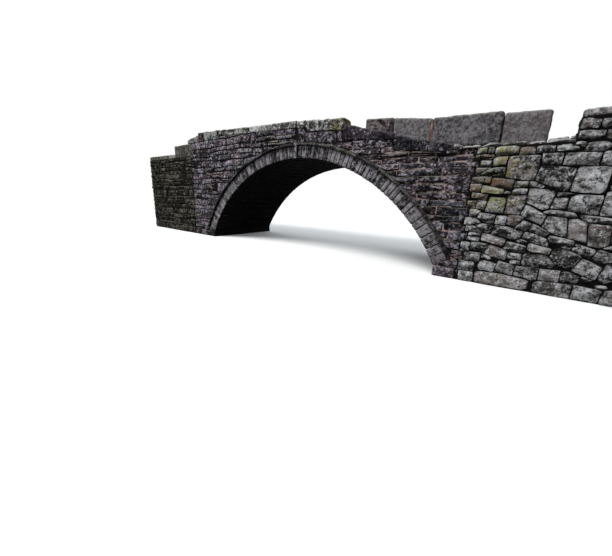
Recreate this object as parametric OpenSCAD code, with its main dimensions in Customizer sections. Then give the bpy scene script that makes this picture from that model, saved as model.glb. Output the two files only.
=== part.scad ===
// A packhorse bridge: one segmental arch of thin ring stones under a hood
// course, coursed side walls, low parapets with long coping blocks, tall
// upright slabs on the far right, and an approach at each end between walls.
// X runs along the bridge from the middle of the arch, Y across it, Z up from
// the stream bed. The near side faces -Y. Sizes are in millimetres.

/* [Arch] */
// Radius of the arch's underside
arch_r = 4200; // [3600:50:4800]
// Angle from the crown to each foot of the arch
arch_half_angle = 61; // [54:1:66]
// Height of the springing course above the stream bed
springer_h = 200; // [100:10:500]
// Height of the ring stones, measured along the radius
ring_h = 300; // [220:10:380]
// Number of ring stones from the keystone to the left foot
ring_count_left = 34; // [24:1:40]
// Number of courses in the barrel between the two rings
barrel_count = 34; // [28:2:40]
// Mortar joint between two ring stones or two courses of the barrel
ring_joint = 8; // [4:1:14]

/* [Keystone and hood] */
// Width of the keystone at the underside of the arch
key_w = 110; // [90:10:260]
// How far the keystone stands out from the wall
key_out = 40; // [10:5:70]
// How far the keystone rises above the hood
key_over_hood = 70; // [20:5:85]
// Thickness of the hood course
hood_t = 60; // [40:5:90]
// How far the hood stands out from the wall
hood_out = 70; // [40:5:90]
// Number of hood slabs on each side of the keystone
hood_count = 8; // [5:1:12]
// Joint between two hood slabs
hood_joint = 8; // [4:1:14]

/* [Side walls and deck] */
// Width of the bridge over its two faces
bridge_w = 2620; // [2200:20:3200]
// Thickness of the side walls, ring stones and parapets
wall_t = 320; // [280:10:440]
// Side wall left of the hood's foot
left_return = 860; // [700:20:1400]
// Side wall right of the hood's foot
right_return = 90; // [40:10:300]
// Deck at the crown above the hood
deck_over_hood = 120; // [100:5:200]
// Thickness of the deck paving
paving_t = 90; // [60:5:100]
// Distance from the crown to the bend in the deck
hump_x = 1400; // [1300:50:1600]
// Fall of the deck from the crown to that bend
hump_drop = 240; // [180:5:250]
// Fall of the deck from the crown to the right end
deck_drop_right = 744; // [500:20:900]
// Fall of the deck from the crown to the left end
deck_drop_left = 44; // [0:4:200]

/* [Parapets] */
// Top of the near coping above the deck at the crown
coping_h_crown = 400; // [340:10:500]
// Top of the near coping above the deck at its left end
coping_h_left = 565; // [480:10:640]
// Top of the near coping above the deck before the step
coping_h_step = 530; // [480:10:600]
// Thickness of an ordinary coping block
coping_t = 180; // [140:10:230]
// Thickness of the first coping block, beside the left end stones
corner_t = 270; // [200:10:290]
// Thickness of the long block at the crown
crown_t = 260; // [200:10:290]
// How far the coping overhangs each face of the parapet
coping_over = 15; // [5:5:40]
// Worn edge along the top of a coping block
coping_wear = 28; // [10:2:50]
// Joint between two coping blocks
coping_joint = 10; // [6:1:20]
// Near parapet right of the last big block
parapet_tail = 450; // [200:10:600]

/* [Upright slabs] */
// Distance from the crown to the first upright slab
slab_start = 600; // [500:20:800]
// Upright slabs past the right end of the side wall
slab_overrun = 880; // [500:20:1200]
// Top of the first upright slab above the deck at the crown
slab_rise = 815; // [700:5:900]
// Fall of the slab tops from the first to the last
slab_fall = 350; // [250:10:450]
// Height of an upright slab
slab_h = 720; // [500:10:740]
// Thickness of an upright slab
slab_t = 260; // [200:10:280]
// Joint between two upright slabs
slab_joint = 25; // [10:1:40]

/* [Left end stones] */
// Parapet under the stepped end stones beside the coping
terminal_len = 820; // [600:10:1000]
// Width of the upright end stone
terminal_w = 350; // [150:10:450]
// How far the sloping end stone reaches over the end block
terminal_over = 200; // [60:10:300]
// Parapet under the end stones, above the deck
terminal_base_h = 280; // [200:10:340]
// Height of the end stone's sloping top at its low and high end
terminal_low_h = 120; // [60:10:150]
// Height of the end stone's sloping top beside the upright stone
terminal_high_h = 230; // [160:10:280]
// Length of the end block on the left wing wall
end_block_len = 1120; // [700:20:1400]

/* [Approaches] */
// Distance from the middle of the arch to each end of the approaches
reach = 8000; // [7400:50:9600]
// Thickness of the cap slabs on the left wing walls
cap_t = 150; // [80:10:200]
// Number of cap slabs on each left wing wall
cap_count = 4; // [2:1:8]
// Joint between two cap slabs
cap_joint = 14; // [6:1:25]
// Top of the right wing walls above the deck
wing_over_deck = 240; // [180:5:280]
// Low stretch of the near right wing wall before its raised part
wing_low_len = 1330; // [900:20:1800]
// Height of the raised part of the right wing walls
raised_h = 310; // [250:10:450]
// Height of the cope stones on the raised part
cope_h = 130; // [80:10:180]
// Cope stones for each metre of raised wall
cope_per_m = 2.6; // [1.5:0.1:4]
// Gap between two cope stones
cope_gap = 18; // [8:1:40]

/* [Hidden] */
$fn = 360;

half_w = bridge_w / 2;
core_w = bridge_w - 2 * wall_t;
r_ring = arch_r + ring_h;
r_hood = r_ring + hood_t;
centre_z = springer_h - arch_r * cos(arch_half_angle);
key_half_angle = asin(key_w / 2 / arch_r);
foot_x = arch_r * sin(arch_half_angle);
ring_foot = [r_ring * sin(arch_half_angle), centre_z + r_ring * cos(arch_half_angle)];
hood_foot = [r_hood * sin(arch_half_angle), centre_z + r_hood * cos(arch_half_angle)];
left_x = -(hood_foot[0] + left_return);
right_x = hood_foot[0] + right_return;

deck_crown = centre_z + r_hood + deck_over_hood;
deck_left = deck_crown - deck_drop_left;
deck_right = deck_crown - deck_drop_right;
deck_hump = deck_crown - hump_drop;
DECK = [
    [-reach, deck_left], [left_x, deck_left], [0, deck_crown],
    [hump_x, deck_hump], [right_x, deck_right], [reach, deck_right]
];

coping_left_x = left_x + terminal_len;
coping_end_x = right_x - parapet_tail;
terminal_z = deck_left + terminal_base_h;
wing_left_top = deck_left - cap_t;
wing_right_top = deck_right + wing_over_deck;
slab_end_x = right_x + slab_overrun;
raised_near_x = right_x + wing_low_len;
end_block_x = left_x - end_block_len;

// Share of the coping's left half that each of its blocks takes, from its left end
LEFT_SHARES = [0.20, 0.19, 0.17, 0.13, 0.16, 0.15];
// Share of the near coping's right half that each of its four blocks takes
NEAR_SHARES = [0.08, 0.30, 0.33, 0.29];
// The two big sloping blocks: how high the top stands over the deck at its left and right
// end, then the same of the bed
BIG_BLOCKS = [[400, 335, 80, 205], [300, 270, 10, 110]];
// Share of the upright slabs' whole length that each slab takes
SLAB_SHARES = [0.20, 0.24, 0.36, 0.20];
// How far each slab's top stands above or below a straight line, end by end
SLAB_STEPS = [[0, 5], [5, -55], [-40, 40], [-10, 25]];

function deck_z(x) = lookup(x, DECK);
function mix(a, b, t) = a + (b - a) * t;
function sum_to(list, n) = n == 0 ? 0 : list[n - 1] + sum_to(list, n - 1);
function arc_point(r, angle) = [r * sin(angle), r * cos(angle)];

// Ring stones from the keystone to the right foot by their widths: narrow ones and a few
// wider ones, most of them near the foot
RING_RIGHT = [
    1.8, 1.7, 1.9, 1.6, 1.8, 1.9, 1.5, 1.4, 1.6, 1.8, 1.5, 1.6, 1.4, 1.6, 1.5, 1.7, 1.5,
    1.4, 1.5, 1.4, 1.6, 1.4, 2.0, 1.7, 1.8, 2.0, 1.5, 3.5, 2.0, 2.7, 3.3, 2.4, 2.2
];
function ring_right_angle(i) =
    mix(key_half_angle, arch_half_angle,
        sum_to(RING_RIGHT, i) / sum_to(RING_RIGHT, len(RING_RIGHT)));
// Angle of ring joint i on the left half: narrow stones, a little uneven
function uneven(i, n) = i == 0 || i == n ? 0 : 0.22 * sin(137 * i);
function ring_left_angle(i) =
    -mix(key_half_angle, arch_half_angle, (i + uneven(i, ring_count_left)) / ring_count_left);

// A block is [x start, x end, top at start, top at end, seat at start, seat at end]
function block_top(b, x) = mix(b[2], b[3], (x - b[0]) / (b[1] - b[0]));
function block_seat(b, x) = mix(b[4], b[5], (x - b[0]) / (b[1] - b[0]));
// A block of even thickness t between two places and two heights of its top
function even_block(x0, x1, top0, top1, t) = [x0, x1, top0, top1, top0 - t, top1 - t];

function coping_left_top(x) =
    deck_z(x) + mix(coping_h_crown, coping_h_left, x / coping_left_x);
left_joint = [for (i = [0 : len(LEFT_SHARES)]) coping_left_x * (1 - sum_to(LEFT_SHARES, i))];
COPING_LEFT = [
    for (i = [0 : len(LEFT_SHARES) - 1])
        even_block(left_joint[i], left_joint[i + 1], coping_left_top(left_joint[i]),
                   coping_left_top(left_joint[i + 1]), i == 0 ? corner_t : coping_t)
];
// The coping rises to a step, and past it lie the two big sloping blocks
near_joint = [for (i = [0 : 4]) coping_end_x * sum_to(NEAR_SHARES, i)];
step_x = near_joint[2];
function coping_crown_top(x) = deck_z(x) + mix(coping_h_crown, coping_h_step, x / step_x);
function sloping_block(x0, x1, over) =
    [x0, x1, deck_z(x0) + over[0], deck_z(x1) + over[1], deck_z(x0) + over[2],
     deck_z(x1) + over[3]];
COPING_RIGHT = [
    even_block(0, near_joint[1], coping_crown_top(0), coping_crown_top(near_joint[1]), coping_t),
    even_block(near_joint[1], step_x, coping_crown_top(near_joint[1]), coping_crown_top(step_x),
               crown_t),
    sloping_block(step_x, near_joint[3], BIG_BLOCKS[0]),
    sloping_block(near_joint[3], coping_end_x, BIG_BLOCKS[1])
];
COPING_CROWN = [
    even_block(0, slab_start, coping_crown_top(0), coping_crown_top(slab_start), coping_t)
];
slab_line = function (x) deck_crown + slab_rise
    - slab_fall * (x - slab_start) / (slab_end_x - slab_start);
slab_x = [for (i = [0 : 4]) mix(slab_start, slab_end_x, sum_to(SLAB_SHARES, i))];
SLABS = [
    for (i = [0 : 3])
        even_block(slab_x[i], slab_x[i + 1],
                   slab_line(slab_x[i]) + SLAB_STEPS[i][0],
                   slab_line(slab_x[i + 1]) + SLAB_STEPS[i][1],
                   slab_h)
];

// Points along the seats of a row of blocks, for the wall that carries them
function seats(blocks) = [
    for (b = blocks) each [[b[0], block_seat(b, b[0])], [b[1], block_seat(b, b[1])]]
];

// Puts a near-side shape on the near face, or its mirror image on the far face
module on_side(far) mirror([0, far ? 1 : 0, 0]) children();

// Extrudes an outline in X and Z through the near side wall
module through_wall(out = 0)
    translate([0, wall_t - half_w, 0]) rotate([90, 0, 0]) linear_extrude(wall_t + out) children();

// Extrudes an outline in X and Z across the core between the side walls
module through_core()
    translate([0, core_w / 2, 0]) rotate([90, 0, 0]) linear_extrude(core_w) children();

// Extrudes an outline in X and Z across the whole width
module through_all()
    translate([0, half_w, 0]) rotate([90, 0, 0]) linear_extrude(bridge_w) children();

// Part of a ring about the arch's centre, between two angles from the crown
module ring_part(r_in, r_out, a0, a1) {
    reach_r = 2 * r_out;
    translate([0, centre_z]) intersection() {
        difference() {
            circle(r = r_out);
            circle(r = r_in);
        }
        polygon([[0, 0], arc_point(reach_r, a0), arc_point(reach_r, (a0 + a1) / 2),
                 arc_point(reach_r, a1)]);
    }
}

// Outline of one wedge stone with straight sides, less half a joint at each side
module wedge(r_in, r_out, a0, a1, joint) {
    cut_in = joint / 2 / r_in * 180 / PI;
    cut_out = joint / 2 / r_out * 180 / PI;
    lo = min(a0, a1);
    hi = max(a0, a1);
    translate([0, centre_z]) polygon([
        arc_point(r_in, lo + cut_in), arc_point(r_out, lo + cut_out),
        arc_point(r_out, hi - cut_out), arc_point(r_in, hi - cut_in)
    ]);
}

// A long block whose top and seat may slope, with worn top edges
module long_block(b, y0, y1, wear, joint) {
    x0 = b[0] + joint / 2;
    x1 = b[1] - joint / 2;
    corners = [
        for (x = [x0, x1])
            each [
                [x, y0, block_seat(b, x)], [x, y1, block_seat(b, x)],
                [x, y1, block_top(b, x) - wear], [x, y1 - wear, block_top(b, x)],
                [x, y0 + wear, block_top(b, x)], [x, y0, block_top(b, x) - wear]
            ]
    ];
    n = len(corners) / 2;
    polyhedron(
        points = corners,
        faces = concat(
            [[for (i = [0 : n - 1]) i], [for (i = [n - 1 : -1 : 0]) n + i]],
            [for (i = [0 : n - 1]) [i, n + i, n + (i + 1) % n, (i + 1) % n]]
        ),
        convexity = 2
    );
}

// A row of long blocks on the near parapet, overhanging both of its faces
module coping_row(blocks)
    for (b = blocks)
        long_block(b, -half_w - coping_over, wall_t - half_w + coping_over, coping_wear,
                   coping_joint);

// Barrel of the arch between the two rings of face stones, laid in courses across the bridge
module arch_barrel() {
    step = 2 * arch_half_angle / barrel_count;
    color("#3b3836") through_core()
        for (i = [0 : barrel_count - 1])
            wedge(arch_r, r_ring, i * step - arch_half_angle, (i + 1) * step - arch_half_angle,
                  ring_joint);
}

// Face stones of the arch, each a wedge that seats against the barrel's end
module arch_ring(far)
    color("#6a6866") on_side(far) {
        for (i = [0 : ring_count_left - 1])
            through_wall()
                wedge(arch_r, r_ring, ring_left_angle(i), ring_left_angle(i + 1), ring_joint);
        for (i = [0 : len(RING_RIGHT) - 1])
            through_wall()
                wedge(arch_r, r_ring, ring_right_angle(i), ring_right_angle(i + 1), ring_joint);
    }

// Outline of the narrow keystone, which rises through the hood
module keystone_outline()
    wedge(arch_r, r_hood + key_over_hood, -key_half_angle, key_half_angle, 0);

module keystone(far)
    color("#77736c") on_side(far) through_wall(key_out) keystone_outline();

// Hood course of thin slabs over the ring, standing out from the wall
module hood(far) {
    step = (arch_half_angle - key_half_angle) / hood_count;
    gap = hood_joint / 2 / r_ring * 180 / PI;
    color("#4a4946") on_side(far)
        for (side = [-1, 1], i = [0 : hood_count - 1]) {
            a0 = key_half_angle + i * step + (i == 0 ? 0 : gap);
            a1 = key_half_angle + (i + 1) * step - (i == hood_count - 1 ? 0 : gap);
            through_wall(hood_out) ring_part(r_ring, r_hood, side * a0, side * a1);
        }
}

// Foundation mass under one foot of the arch, with its sloping skewback.
// The side is -1 on the left and 1 on the right.
module abutment(side) {
    end_x = side < 0 ? -left_x : right_x;
    color("#45413f") through_all() polygon([
        [side * end_x, 0], [side * foot_x, 0], [side * foot_x, springer_h],
        [side * hood_foot[0], hood_foot[1]], [side * end_x, hood_foot[1]]
    ]);
}

// Coursed side wall from the hood up to the deck, on one side of the crown
module spandrel(far, side) {
    outline = side < 0
        ? [[left_x, hood_foot[1]], [0, hood_foot[1]], [0, deck_crown], [left_x, deck_left]]
        : [[0, hood_foot[1]], [right_x, hood_foot[1]], [right_x, deck_right],
           [hump_x, deck_hump], [0, deck_crown]];
    color("#4b4644") on_side(far) through_wall() difference() {
        polygon(outline);
        translate([0, centre_z]) circle(r = r_hood);
        keystone_outline();
    }
}

// Rubble hearting over the barrel and behind the side walls
module hearting(side) {
    down = paving_t;
    outline = side < 0
        ? [[left_x, hood_foot[1]], [-hood_foot[0], hood_foot[1]], [-ring_foot[0], ring_foot[1]],
           [0, ring_foot[1]], [0, deck_crown - down], [left_x, deck_left - down]]
        : [[0, ring_foot[1]], [ring_foot[0], ring_foot[1]], [hood_foot[0], hood_foot[1]],
           [right_x, hood_foot[1]], [right_x, deck_right - down],
           [hump_x, deck_hump - down], [0, deck_crown - down]];
    color("#5b544c") through_core() difference() {
        polygon(outline);
        translate([0, centre_z]) circle(r = r_ring);
    }
}

// Band of paving under the deck line, through the given places along the bridge
module paving(xs)
    color("#6d675e") through_core() polygon(concat(
        [for (x = xs) [x, deck_z(x)]],
        [for (i = [len(xs) - 1 : -1 : 0]) [xs[i], deck_z(xs[i]) - paving_t]]
    ));

// Coursed parapet from the deck up to the seats of its coping
module parapet_left(far)
    color("#4b4644") on_side(far) through_wall() difference() {
        polygon(concat(
            [[0, deck_crown], [left_x, deck_left], [left_x, terminal_z],
             [coping_left_x, terminal_z]],
            seats(COPING_LEFT)
        ));
        keystone_outline();
    }

module parapet_near_right()
    color("#4b4644") through_wall() difference() {
        polygon(concat(
            [[right_x, wing_right_top], [right_x, deck_right], [hump_x, deck_hump],
             [0, deck_crown]],
            seats(COPING_RIGHT),
            [[coping_end_x, max(wing_right_top, deck_z(coping_end_x) + 1)]]
        ));
        keystone_outline();
    }

module parapet_far_right()
    color("#4b4644") on_side(true) through_wall() difference() {
        polygon(concat(
            [[slab_end_x, wing_right_top], [right_x, wing_right_top], [right_x, deck_right],
             [hump_x, deck_hump], [0, deck_crown]],
            seats(COPING_CROWN),
            seats(SLABS)
        ));
        keystone_outline();
    }

// Tall smooth slabs set on edge along the middle of the far parapet
module upright_slabs_far()
    color("#6f675f") on_side(true)
        for (b = SLABS)
            long_block(b, wall_t / 2 - half_w - slab_t / 2, wall_t / 2 - half_w + slab_t / 2,
                       coping_wear, slab_joint);

// Upright stone and sloping stone that end the left coping. The sloping one reaches over
// the joint between the parapet and the end block.
module end_stones(far) {
    upright_x = coping_left_x - terminal_w;
    upright_h = block_top(COPING_LEFT[0], coping_left_x) - terminal_z;
    color("#7b7466") on_side(far) through_wall() {
        translate([upright_x + coping_joint / 2, terminal_z])
            square([terminal_w - coping_joint, upright_h]);
        polygon([
            [left_x - terminal_over, terminal_z], [upright_x - coping_joint / 2, terminal_z],
            [upright_x - coping_joint / 2, terminal_z + terminal_high_h],
            [left_x - terminal_over, terminal_z + terminal_low_h]
        ]);
    }
}

// Large block on the left wing wall, as high as the parapet's end beside it
module end_block(far)
    color("#5d554b") on_side(far) through_wall()
        translate([end_block_x, wing_left_top])
            square([end_block_len, terminal_z - wing_left_top]);

module wing_wall_left(far)
    color("#3f3d38") on_side(far) through_wall()
        translate([-reach, 0]) square([left_x + reach, wing_left_top]);

// Cap slabs beyond the end block, level with the track
module wing_caps_left(far) {
    run = end_block_x + reach;
    step = run / cap_count;
    color("#6b665a") on_side(far) through_wall()
        for (i = [0 : cap_count - 1])
            translate([-reach + i * step + (i == 0 ? 0 : cap_joint / 2), wing_left_top])
                square([step - (i == 0 ? cap_joint / 2 : cap_joint), cap_t]);
}

module wing_wall_right(far)
    color("#6a6863") on_side(far) through_wall()
        translate([right_x, 0]) square([reach - right_x, wing_right_top]);

// Raised part of a right wing wall, from the given place to the approach's end
module raised_wall(far, start_x)
    color("#6a6863") on_side(far) through_wall()
        translate([start_x, wing_right_top]) square([reach - start_x, raised_h]);

// Rough cope stones along the raised part, a little uneven in height and length
module cope_stones(far, start_x) {
    seat_z = wing_right_top + raised_h;
    count = round((reach - start_x) / 1000 * cope_per_m);
    step = (reach - start_x) / count;
    color("#77746d") on_side(far)
        for (i = [0 : count - 1]) {
            x0 = start_x + (i + (i == 0 ? 0 : 0.14 * sin(211 * i))) * step;
            x1 = start_x + (i + 1 + (i == count - 1 ? 0 : 0.14 * sin(211 * (i + 1)))) * step;
            h0 = cope_h * (0.82 + 0.18 * sin(97 * i));
            h1 = cope_h * (0.82 + 0.18 * sin(97 * i + 60));
            long_block([x0, x1, seat_z + h0, seat_z + h1, seat_z, seat_z],
                       -half_w, wall_t - half_w, cope_h / 4, cope_gap);
        }
}

// Packed fill of an approach between its wing walls
module approach_fill(side) {
    end_x = side < 0 ? -left_x : right_x;
    top = (side < 0 ? deck_left : deck_right) - paving_t;
    color("#5b544c") through_core()
        polygon([[side * end_x, 0], [side * reach, 0], [side * reach, top], [side * end_x, top]]);
}

arch_barrel();
arch_ring(false);  // arch_ring_near
arch_ring(true);  // arch_ring_far
keystone(false);  // keystone_near
keystone(true);  // keystone_far
hood(false);  // hood_near
hood(true);  // hood_far
abutment(-1);  // abutment_left
abutment(1);  // abutment_right
spandrel(false, -1);  // spandrel_near_left
spandrel(false, 1);  // spandrel_near_right
spandrel(true, -1);  // spandrel_far_left
spandrel(true, 1);  // spandrel_far_right
hearting(-1);  // hearting_left
hearting(1);  // hearting_right
paving([left_x, 0]);  // deck_paving_left
paving([0, hump_x, right_x]);  // deck_paving_right
parapet_left(false);  // parapet_near_left
parapet_near_right();
parapet_left(true);  // parapet_far_left
parapet_far_right();
color("#6c6d62") coping_row(COPING_LEFT);  // coping_near_left
color("#454341") coping_row(COPING_RIGHT);  // coping_near_right
color("#6c6d62") on_side(true) coping_row(COPING_LEFT);  // coping_far_left
color("#6c6d62") on_side(true) coping_row(COPING_CROWN);  // coping_far_crown
upright_slabs_far();
end_stones(false);  // end_stones_near
end_stones(true);  // end_stones_far
end_block(false);  // end_block_near
end_block(true);  // end_block_far
wing_wall_left(false);  // wing_wall_near_left
wing_wall_left(true);  // wing_wall_far_left
wing_caps_left(false);  // wing_caps_near_left
wing_caps_left(true);  // wing_caps_far_left
wing_wall_right(false);  // wing_wall_near_right
wing_wall_right(true);  // wing_wall_far_right
raised_wall(false, raised_near_x);  // raised_wall_near
raised_wall(true, slab_end_x);  // raised_wall_far
cope_stones(false, raised_near_x);  // cope_stones_near
cope_stones(true, slab_end_x);  // cope_stones_far
approach_fill(-1);  // approach_fill_left
approach_fill(1);  // approach_fill_right
paving([-reach, left_x]);  // approach_paving_left
paving([right_x, reach]);  // approach_paving_right
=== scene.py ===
# %% [markdown]
# # A packhorse bridge of dark gritstone
# The bridge arrives as plain solids: walls, arch, copings, paving. This lesson dresses them.
# Each wall's solid, or a copy with shorter ends, stays as the mortar bed, and bedded stones are
# laid over it, one by one, as a mason would. Long blocks such as copings take the place of
# their plain solids.

# %% Load the packed model
import math
import random

import bmesh
import bpy
import numpy as np
from mathutils import Matrix, Vector
from mathutils.bvhtree import BVHTree


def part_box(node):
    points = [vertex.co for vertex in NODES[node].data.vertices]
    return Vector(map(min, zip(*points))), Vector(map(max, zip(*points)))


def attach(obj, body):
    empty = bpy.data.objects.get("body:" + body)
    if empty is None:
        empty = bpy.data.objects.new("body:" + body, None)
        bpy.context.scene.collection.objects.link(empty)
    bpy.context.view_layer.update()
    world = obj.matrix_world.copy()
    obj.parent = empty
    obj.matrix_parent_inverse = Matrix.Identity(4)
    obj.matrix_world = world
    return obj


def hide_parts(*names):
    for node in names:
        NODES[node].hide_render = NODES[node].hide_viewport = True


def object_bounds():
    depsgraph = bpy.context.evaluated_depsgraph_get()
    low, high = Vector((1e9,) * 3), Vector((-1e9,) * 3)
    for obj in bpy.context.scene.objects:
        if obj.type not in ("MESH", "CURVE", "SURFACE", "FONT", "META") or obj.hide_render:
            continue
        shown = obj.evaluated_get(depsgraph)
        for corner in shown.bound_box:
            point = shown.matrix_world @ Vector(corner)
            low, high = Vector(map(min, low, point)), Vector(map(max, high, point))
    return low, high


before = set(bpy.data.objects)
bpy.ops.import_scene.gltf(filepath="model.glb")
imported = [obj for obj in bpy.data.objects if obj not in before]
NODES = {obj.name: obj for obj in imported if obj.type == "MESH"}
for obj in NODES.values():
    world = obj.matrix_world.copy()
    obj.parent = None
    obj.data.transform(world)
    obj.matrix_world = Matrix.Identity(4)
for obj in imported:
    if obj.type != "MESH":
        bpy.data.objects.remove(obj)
CAD_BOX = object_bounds()
print("nodes", len(NODES), "box", [[round(v, 3) for v in corner] for corner in CAD_BOX])

# %% [markdown]
# ## The bridge's own measures
# The main places come from the solids: the top of the arch's circle from its barrel, the faces
# of the walls from the side walls, the line of the deck from the paving. Of the arch, the
# radius, the height of the ring stones and the angle from the crown to each foot are written
# down, because a circle can't be read from a box.

# %% Measures
ARCH_R = 4.2
RING_H = 0.3
R_RING = ARCH_R + RING_H
HALF_ANGLE = math.radians(61)
BARREL_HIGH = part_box("arch_barrel")[1]
CENTRE_Z = BARREL_HIGH[2] - R_RING
FACE_Y = -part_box("spandrel_near_left")[0][1]
CORE_Y = BARREL_HIGH[1]
LEFT_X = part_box("spandrel_near_left")[0][0]
RIGHT_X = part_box("spandrel_near_right")[1][0]
REACH = CAD_BOX[1][0]
R_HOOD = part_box("hood_near")[1][2] - CENTRE_Z
DECK_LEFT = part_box("approach_paving_left")[1][2]
DECK_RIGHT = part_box("approach_paving_right")[1][2]
print("arch centre", round(CENTRE_Z, 3), "face", FACE_Y, "left", round(LEFT_X, 3),
      "right", round(RIGHT_X, 3))

# %% [markdown]
# ## Camera
# The photograph was taken with a wide lens from in front of the right wing wall, lower than
# the deck, looking down and to the left. The camera's place and turn were worked out from the
# circle of the arch: three angles and a focal length in pixels. Its matrix is built from its
# own three axes, which leaves no doubt about the order of the turns.

# %% Camera
PICTURE_W = 612
FOCAL_PX = 300.0
SENSOR_MM = 36.0
CAMERA_AT = Vector((5.381, -7.450, 1.471))
YAW, PITCH, ROLL = (math.radians(a) for a in (38.818, 15.387, 1.664))


def camera_axes():
    """Right, up and forward of the camera, turned left by YAW, down by PITCH, then rolled."""
    ahead = Vector((-math.sin(YAW) * math.cos(PITCH), math.cos(YAW) * math.cos(PITCH),
                    -math.sin(PITCH)))
    level = Vector((math.cos(YAW), math.sin(YAW), 0))
    above = level.cross(ahead)
    right = level * math.cos(ROLL) + above * math.sin(ROLL)
    up = above * math.cos(ROLL) - level * math.sin(ROLL)
    return right, up, ahead


camera_data = bpy.data.cameras.new("camera")
camera_data.sensor_width = SENSOR_MM
camera_data.lens = FOCAL_PX / PICTURE_W * SENSOR_MM
camera_data.clip_end = 200
camera = bpy.data.objects.new("camera", camera_data)
bpy.context.collection.objects.link(camera)
right, up, ahead = camera_axes()
turn = Matrix((right, up, -ahead)).transposed().to_4x4()
camera.matrix_world = Matrix.Translation(CAMERA_AT) @ turn
bpy.context.scene.camera = camera
print("lens", round(camera_data.lens, 2), "mm")

# %% [markdown]
# ## A small language for shaders
# A wrapped socket lets a shader be written as arithmetic: `1 - mask * 0.5` adds the Math nodes
# by itself. Everything else comes from one method, which makes a node, sets its settings and
# then its inputs.

# %% A wrapped socket


class Value:
    """A number in a shader. Python's operators on it add Math nodes."""

    def __init__(self, shader, socket):
        self.shader = shader
        self.socket = socket

    def maths(self, operation, *others):
        inputs = {i: v for i, v in enumerate((self, *others))}
        return self.shader.node("ShaderNodeMath", {"operation": operation}, inputs)["Value"]

    def __add__(self, other):
        return self.maths("ADD", other)

    def __radd__(self, other):
        return self.maths("ADD", other)

    def __mul__(self, other):
        return self.maths("MULTIPLY", other)

    def __rmul__(self, other):
        return self.maths("MULTIPLY", other)

    def __sub__(self, other):
        return self.maths("SUBTRACT", other)

    def __rsub__(self, other):
        return (self * -1.0) + other

    def between(self, low, high):
        """0 below low, 1 above high and smooth from one to the other."""
        ranged = self.shader.node(
            "ShaderNodeMapRange", {"interpolation_type": "SMOOTHSTEP"},
            {"Value": self, "From Min": low, "From Max": high})
        return ranged["Result"]


class Node:
    """A shader node whose outputs are read by name, as wrapped sockets."""

    def __init__(self, shader, node):
        self.shader = shader
        self.node = node

    def __getitem__(self, name):
        found = [s for s in self.node.outputs if s.enabled and s.name == name]
        return Value(self.shader, found[0])


print("reflected operators", [name for name in vars(Value) if name.startswith("__r")])

# %% [markdown]
# A shader is a tree of nodes that ends in an output. The class below holds one tree, that of a
# material or of the world, and has a short name for each node that stone needs: noise,
# stretched coordinates, a blend of two colours. Stone barely shines, so its reflection is kept
# far under the usual half.

# %% A shader, built node by node
DULL = 0.08


class Shader:
    """Builds the node tree of one material, or of a world."""

    def __init__(self, name, kind="materials"):
        self.owner = getattr(bpy.data, kind).new(name)
        self.owner.use_nodes = True
        self.tree = self.owner.node_tree
        self.tree.nodes.clear()

    def node(self, kind, settings=None, inputs=None):
        """Adds a node. Inputs are named, or numbered where two share a name."""
        node = self.tree.nodes.new(kind)
        for key, value in (settings or {}).items():
            setattr(node, key, value)
        enabled = [s for s in node.inputs if s.enabled]
        for key, value in (inputs or {}).items():
            socket = enabled[key] if isinstance(key, int) else [
                s for s in enabled if s.name == key][0]
            if isinstance(value, Value):
                self.tree.links.new(value.socket, socket)
            else:
                socket.default_value = value
        return Node(self, node)

    def place(self):
        return self.node("ShaderNodeTexCoord")["Object"]

    def stretch(self, vector, scale):
        return self.node("ShaderNodeVectorMath", {"operation": "MULTIPLY"},
                         {0: vector, 1: scale})["Vector"]

    def noise(self, vector, scale, detail=3.0, rough=0.55):
        return self.node("ShaderNodeTexNoise", {}, {
            "Vector": vector, "Scale": scale, "Detail": detail, "Roughness": rough})["Fac"]

    def blend(self, factor, a, b):
        """Colour a where factor is 0 and colour b where it is 1."""
        mixed = self.node("ShaderNodeMix", {"data_type": "RGBA"}, {
            "Factor": factor, "A": a, "B": b})
        return mixed["Result"]

    def parts(self, vector):
        split = self.node("ShaderNodeSeparateXYZ", {}, {"Vector": vector})
        return split["X"], split["Y"], split["Z"]

    def finish(self, colour, roughness, height, distance):
        """Ends the material in a Principled shader with a bump of the given height."""
        bump = self.node("ShaderNodeBump", {}, {
            "Height": height, "Distance": distance, "Strength": 1.0})["Normal"]
        surface = self.node("ShaderNodeBsdfPrincipled", {}, {
            "Base Color": colour, "Roughness": roughness, "Normal": bump,
            "Specular IOR Level": DULL})["BSDF"]
        self.node("ShaderNodeOutputMaterial", {}, {"Surface": surface})
        return self.owner


def rgb(r, g, b):
    return (r, g, b, 1.0)


print("a colour as a node takes it", rgb(0.5, 0.5, 0.5))

# %% [markdown]
# ## Weathered gritstone
# Upland gritstone weathers from grey to nearly black. Each stone has its own tone and tint,
# kept in the mesh as an attribute. Over them lie broad stains, the fine beds of the rock, a
# pale film, round crusts of lichen, and moss where a face looks up. Faces that look up get a
# painted highlight and undersides a painted shade, and each stone's rim is darkened for the dirt
# of the joints and as painted shade in them.

# %% Colours and crusts
LICHEN_WHITE = (0.52, 0.53, 0.50)
MOSS_GREEN = (0.050, 0.062, 0.014)
RUST_BROWN = (0.150, 0.078, 0.042)
LICHEN_GOLD = (0.250, 0.255, 0.060)
WISP_PINK = (0.44, 0.34, 0.36)
FOOT_GREY = (0.200, 0.175, 0.176)


def scaled(colour, factor):
    return rgb(*(min(1.0, c * factor) for c in colour))


def round_crusts(shader, at, fine, scale, rare, size):
    """Round crusts of lichen, one in some of the cells of a cell pattern."""
    cells = shader.node("ShaderNodeTexVoronoi", {}, {
        "Vector": at, "Scale": scale, "Randomness": 1.0})
    chance = shader.parts(cells["Color"])[0]
    edge = cells["Distance"] + (fine - 0.5) * 0.34 - (chance - rare) * size
    return 1 - edge.between(-0.05, 0.01)


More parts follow.
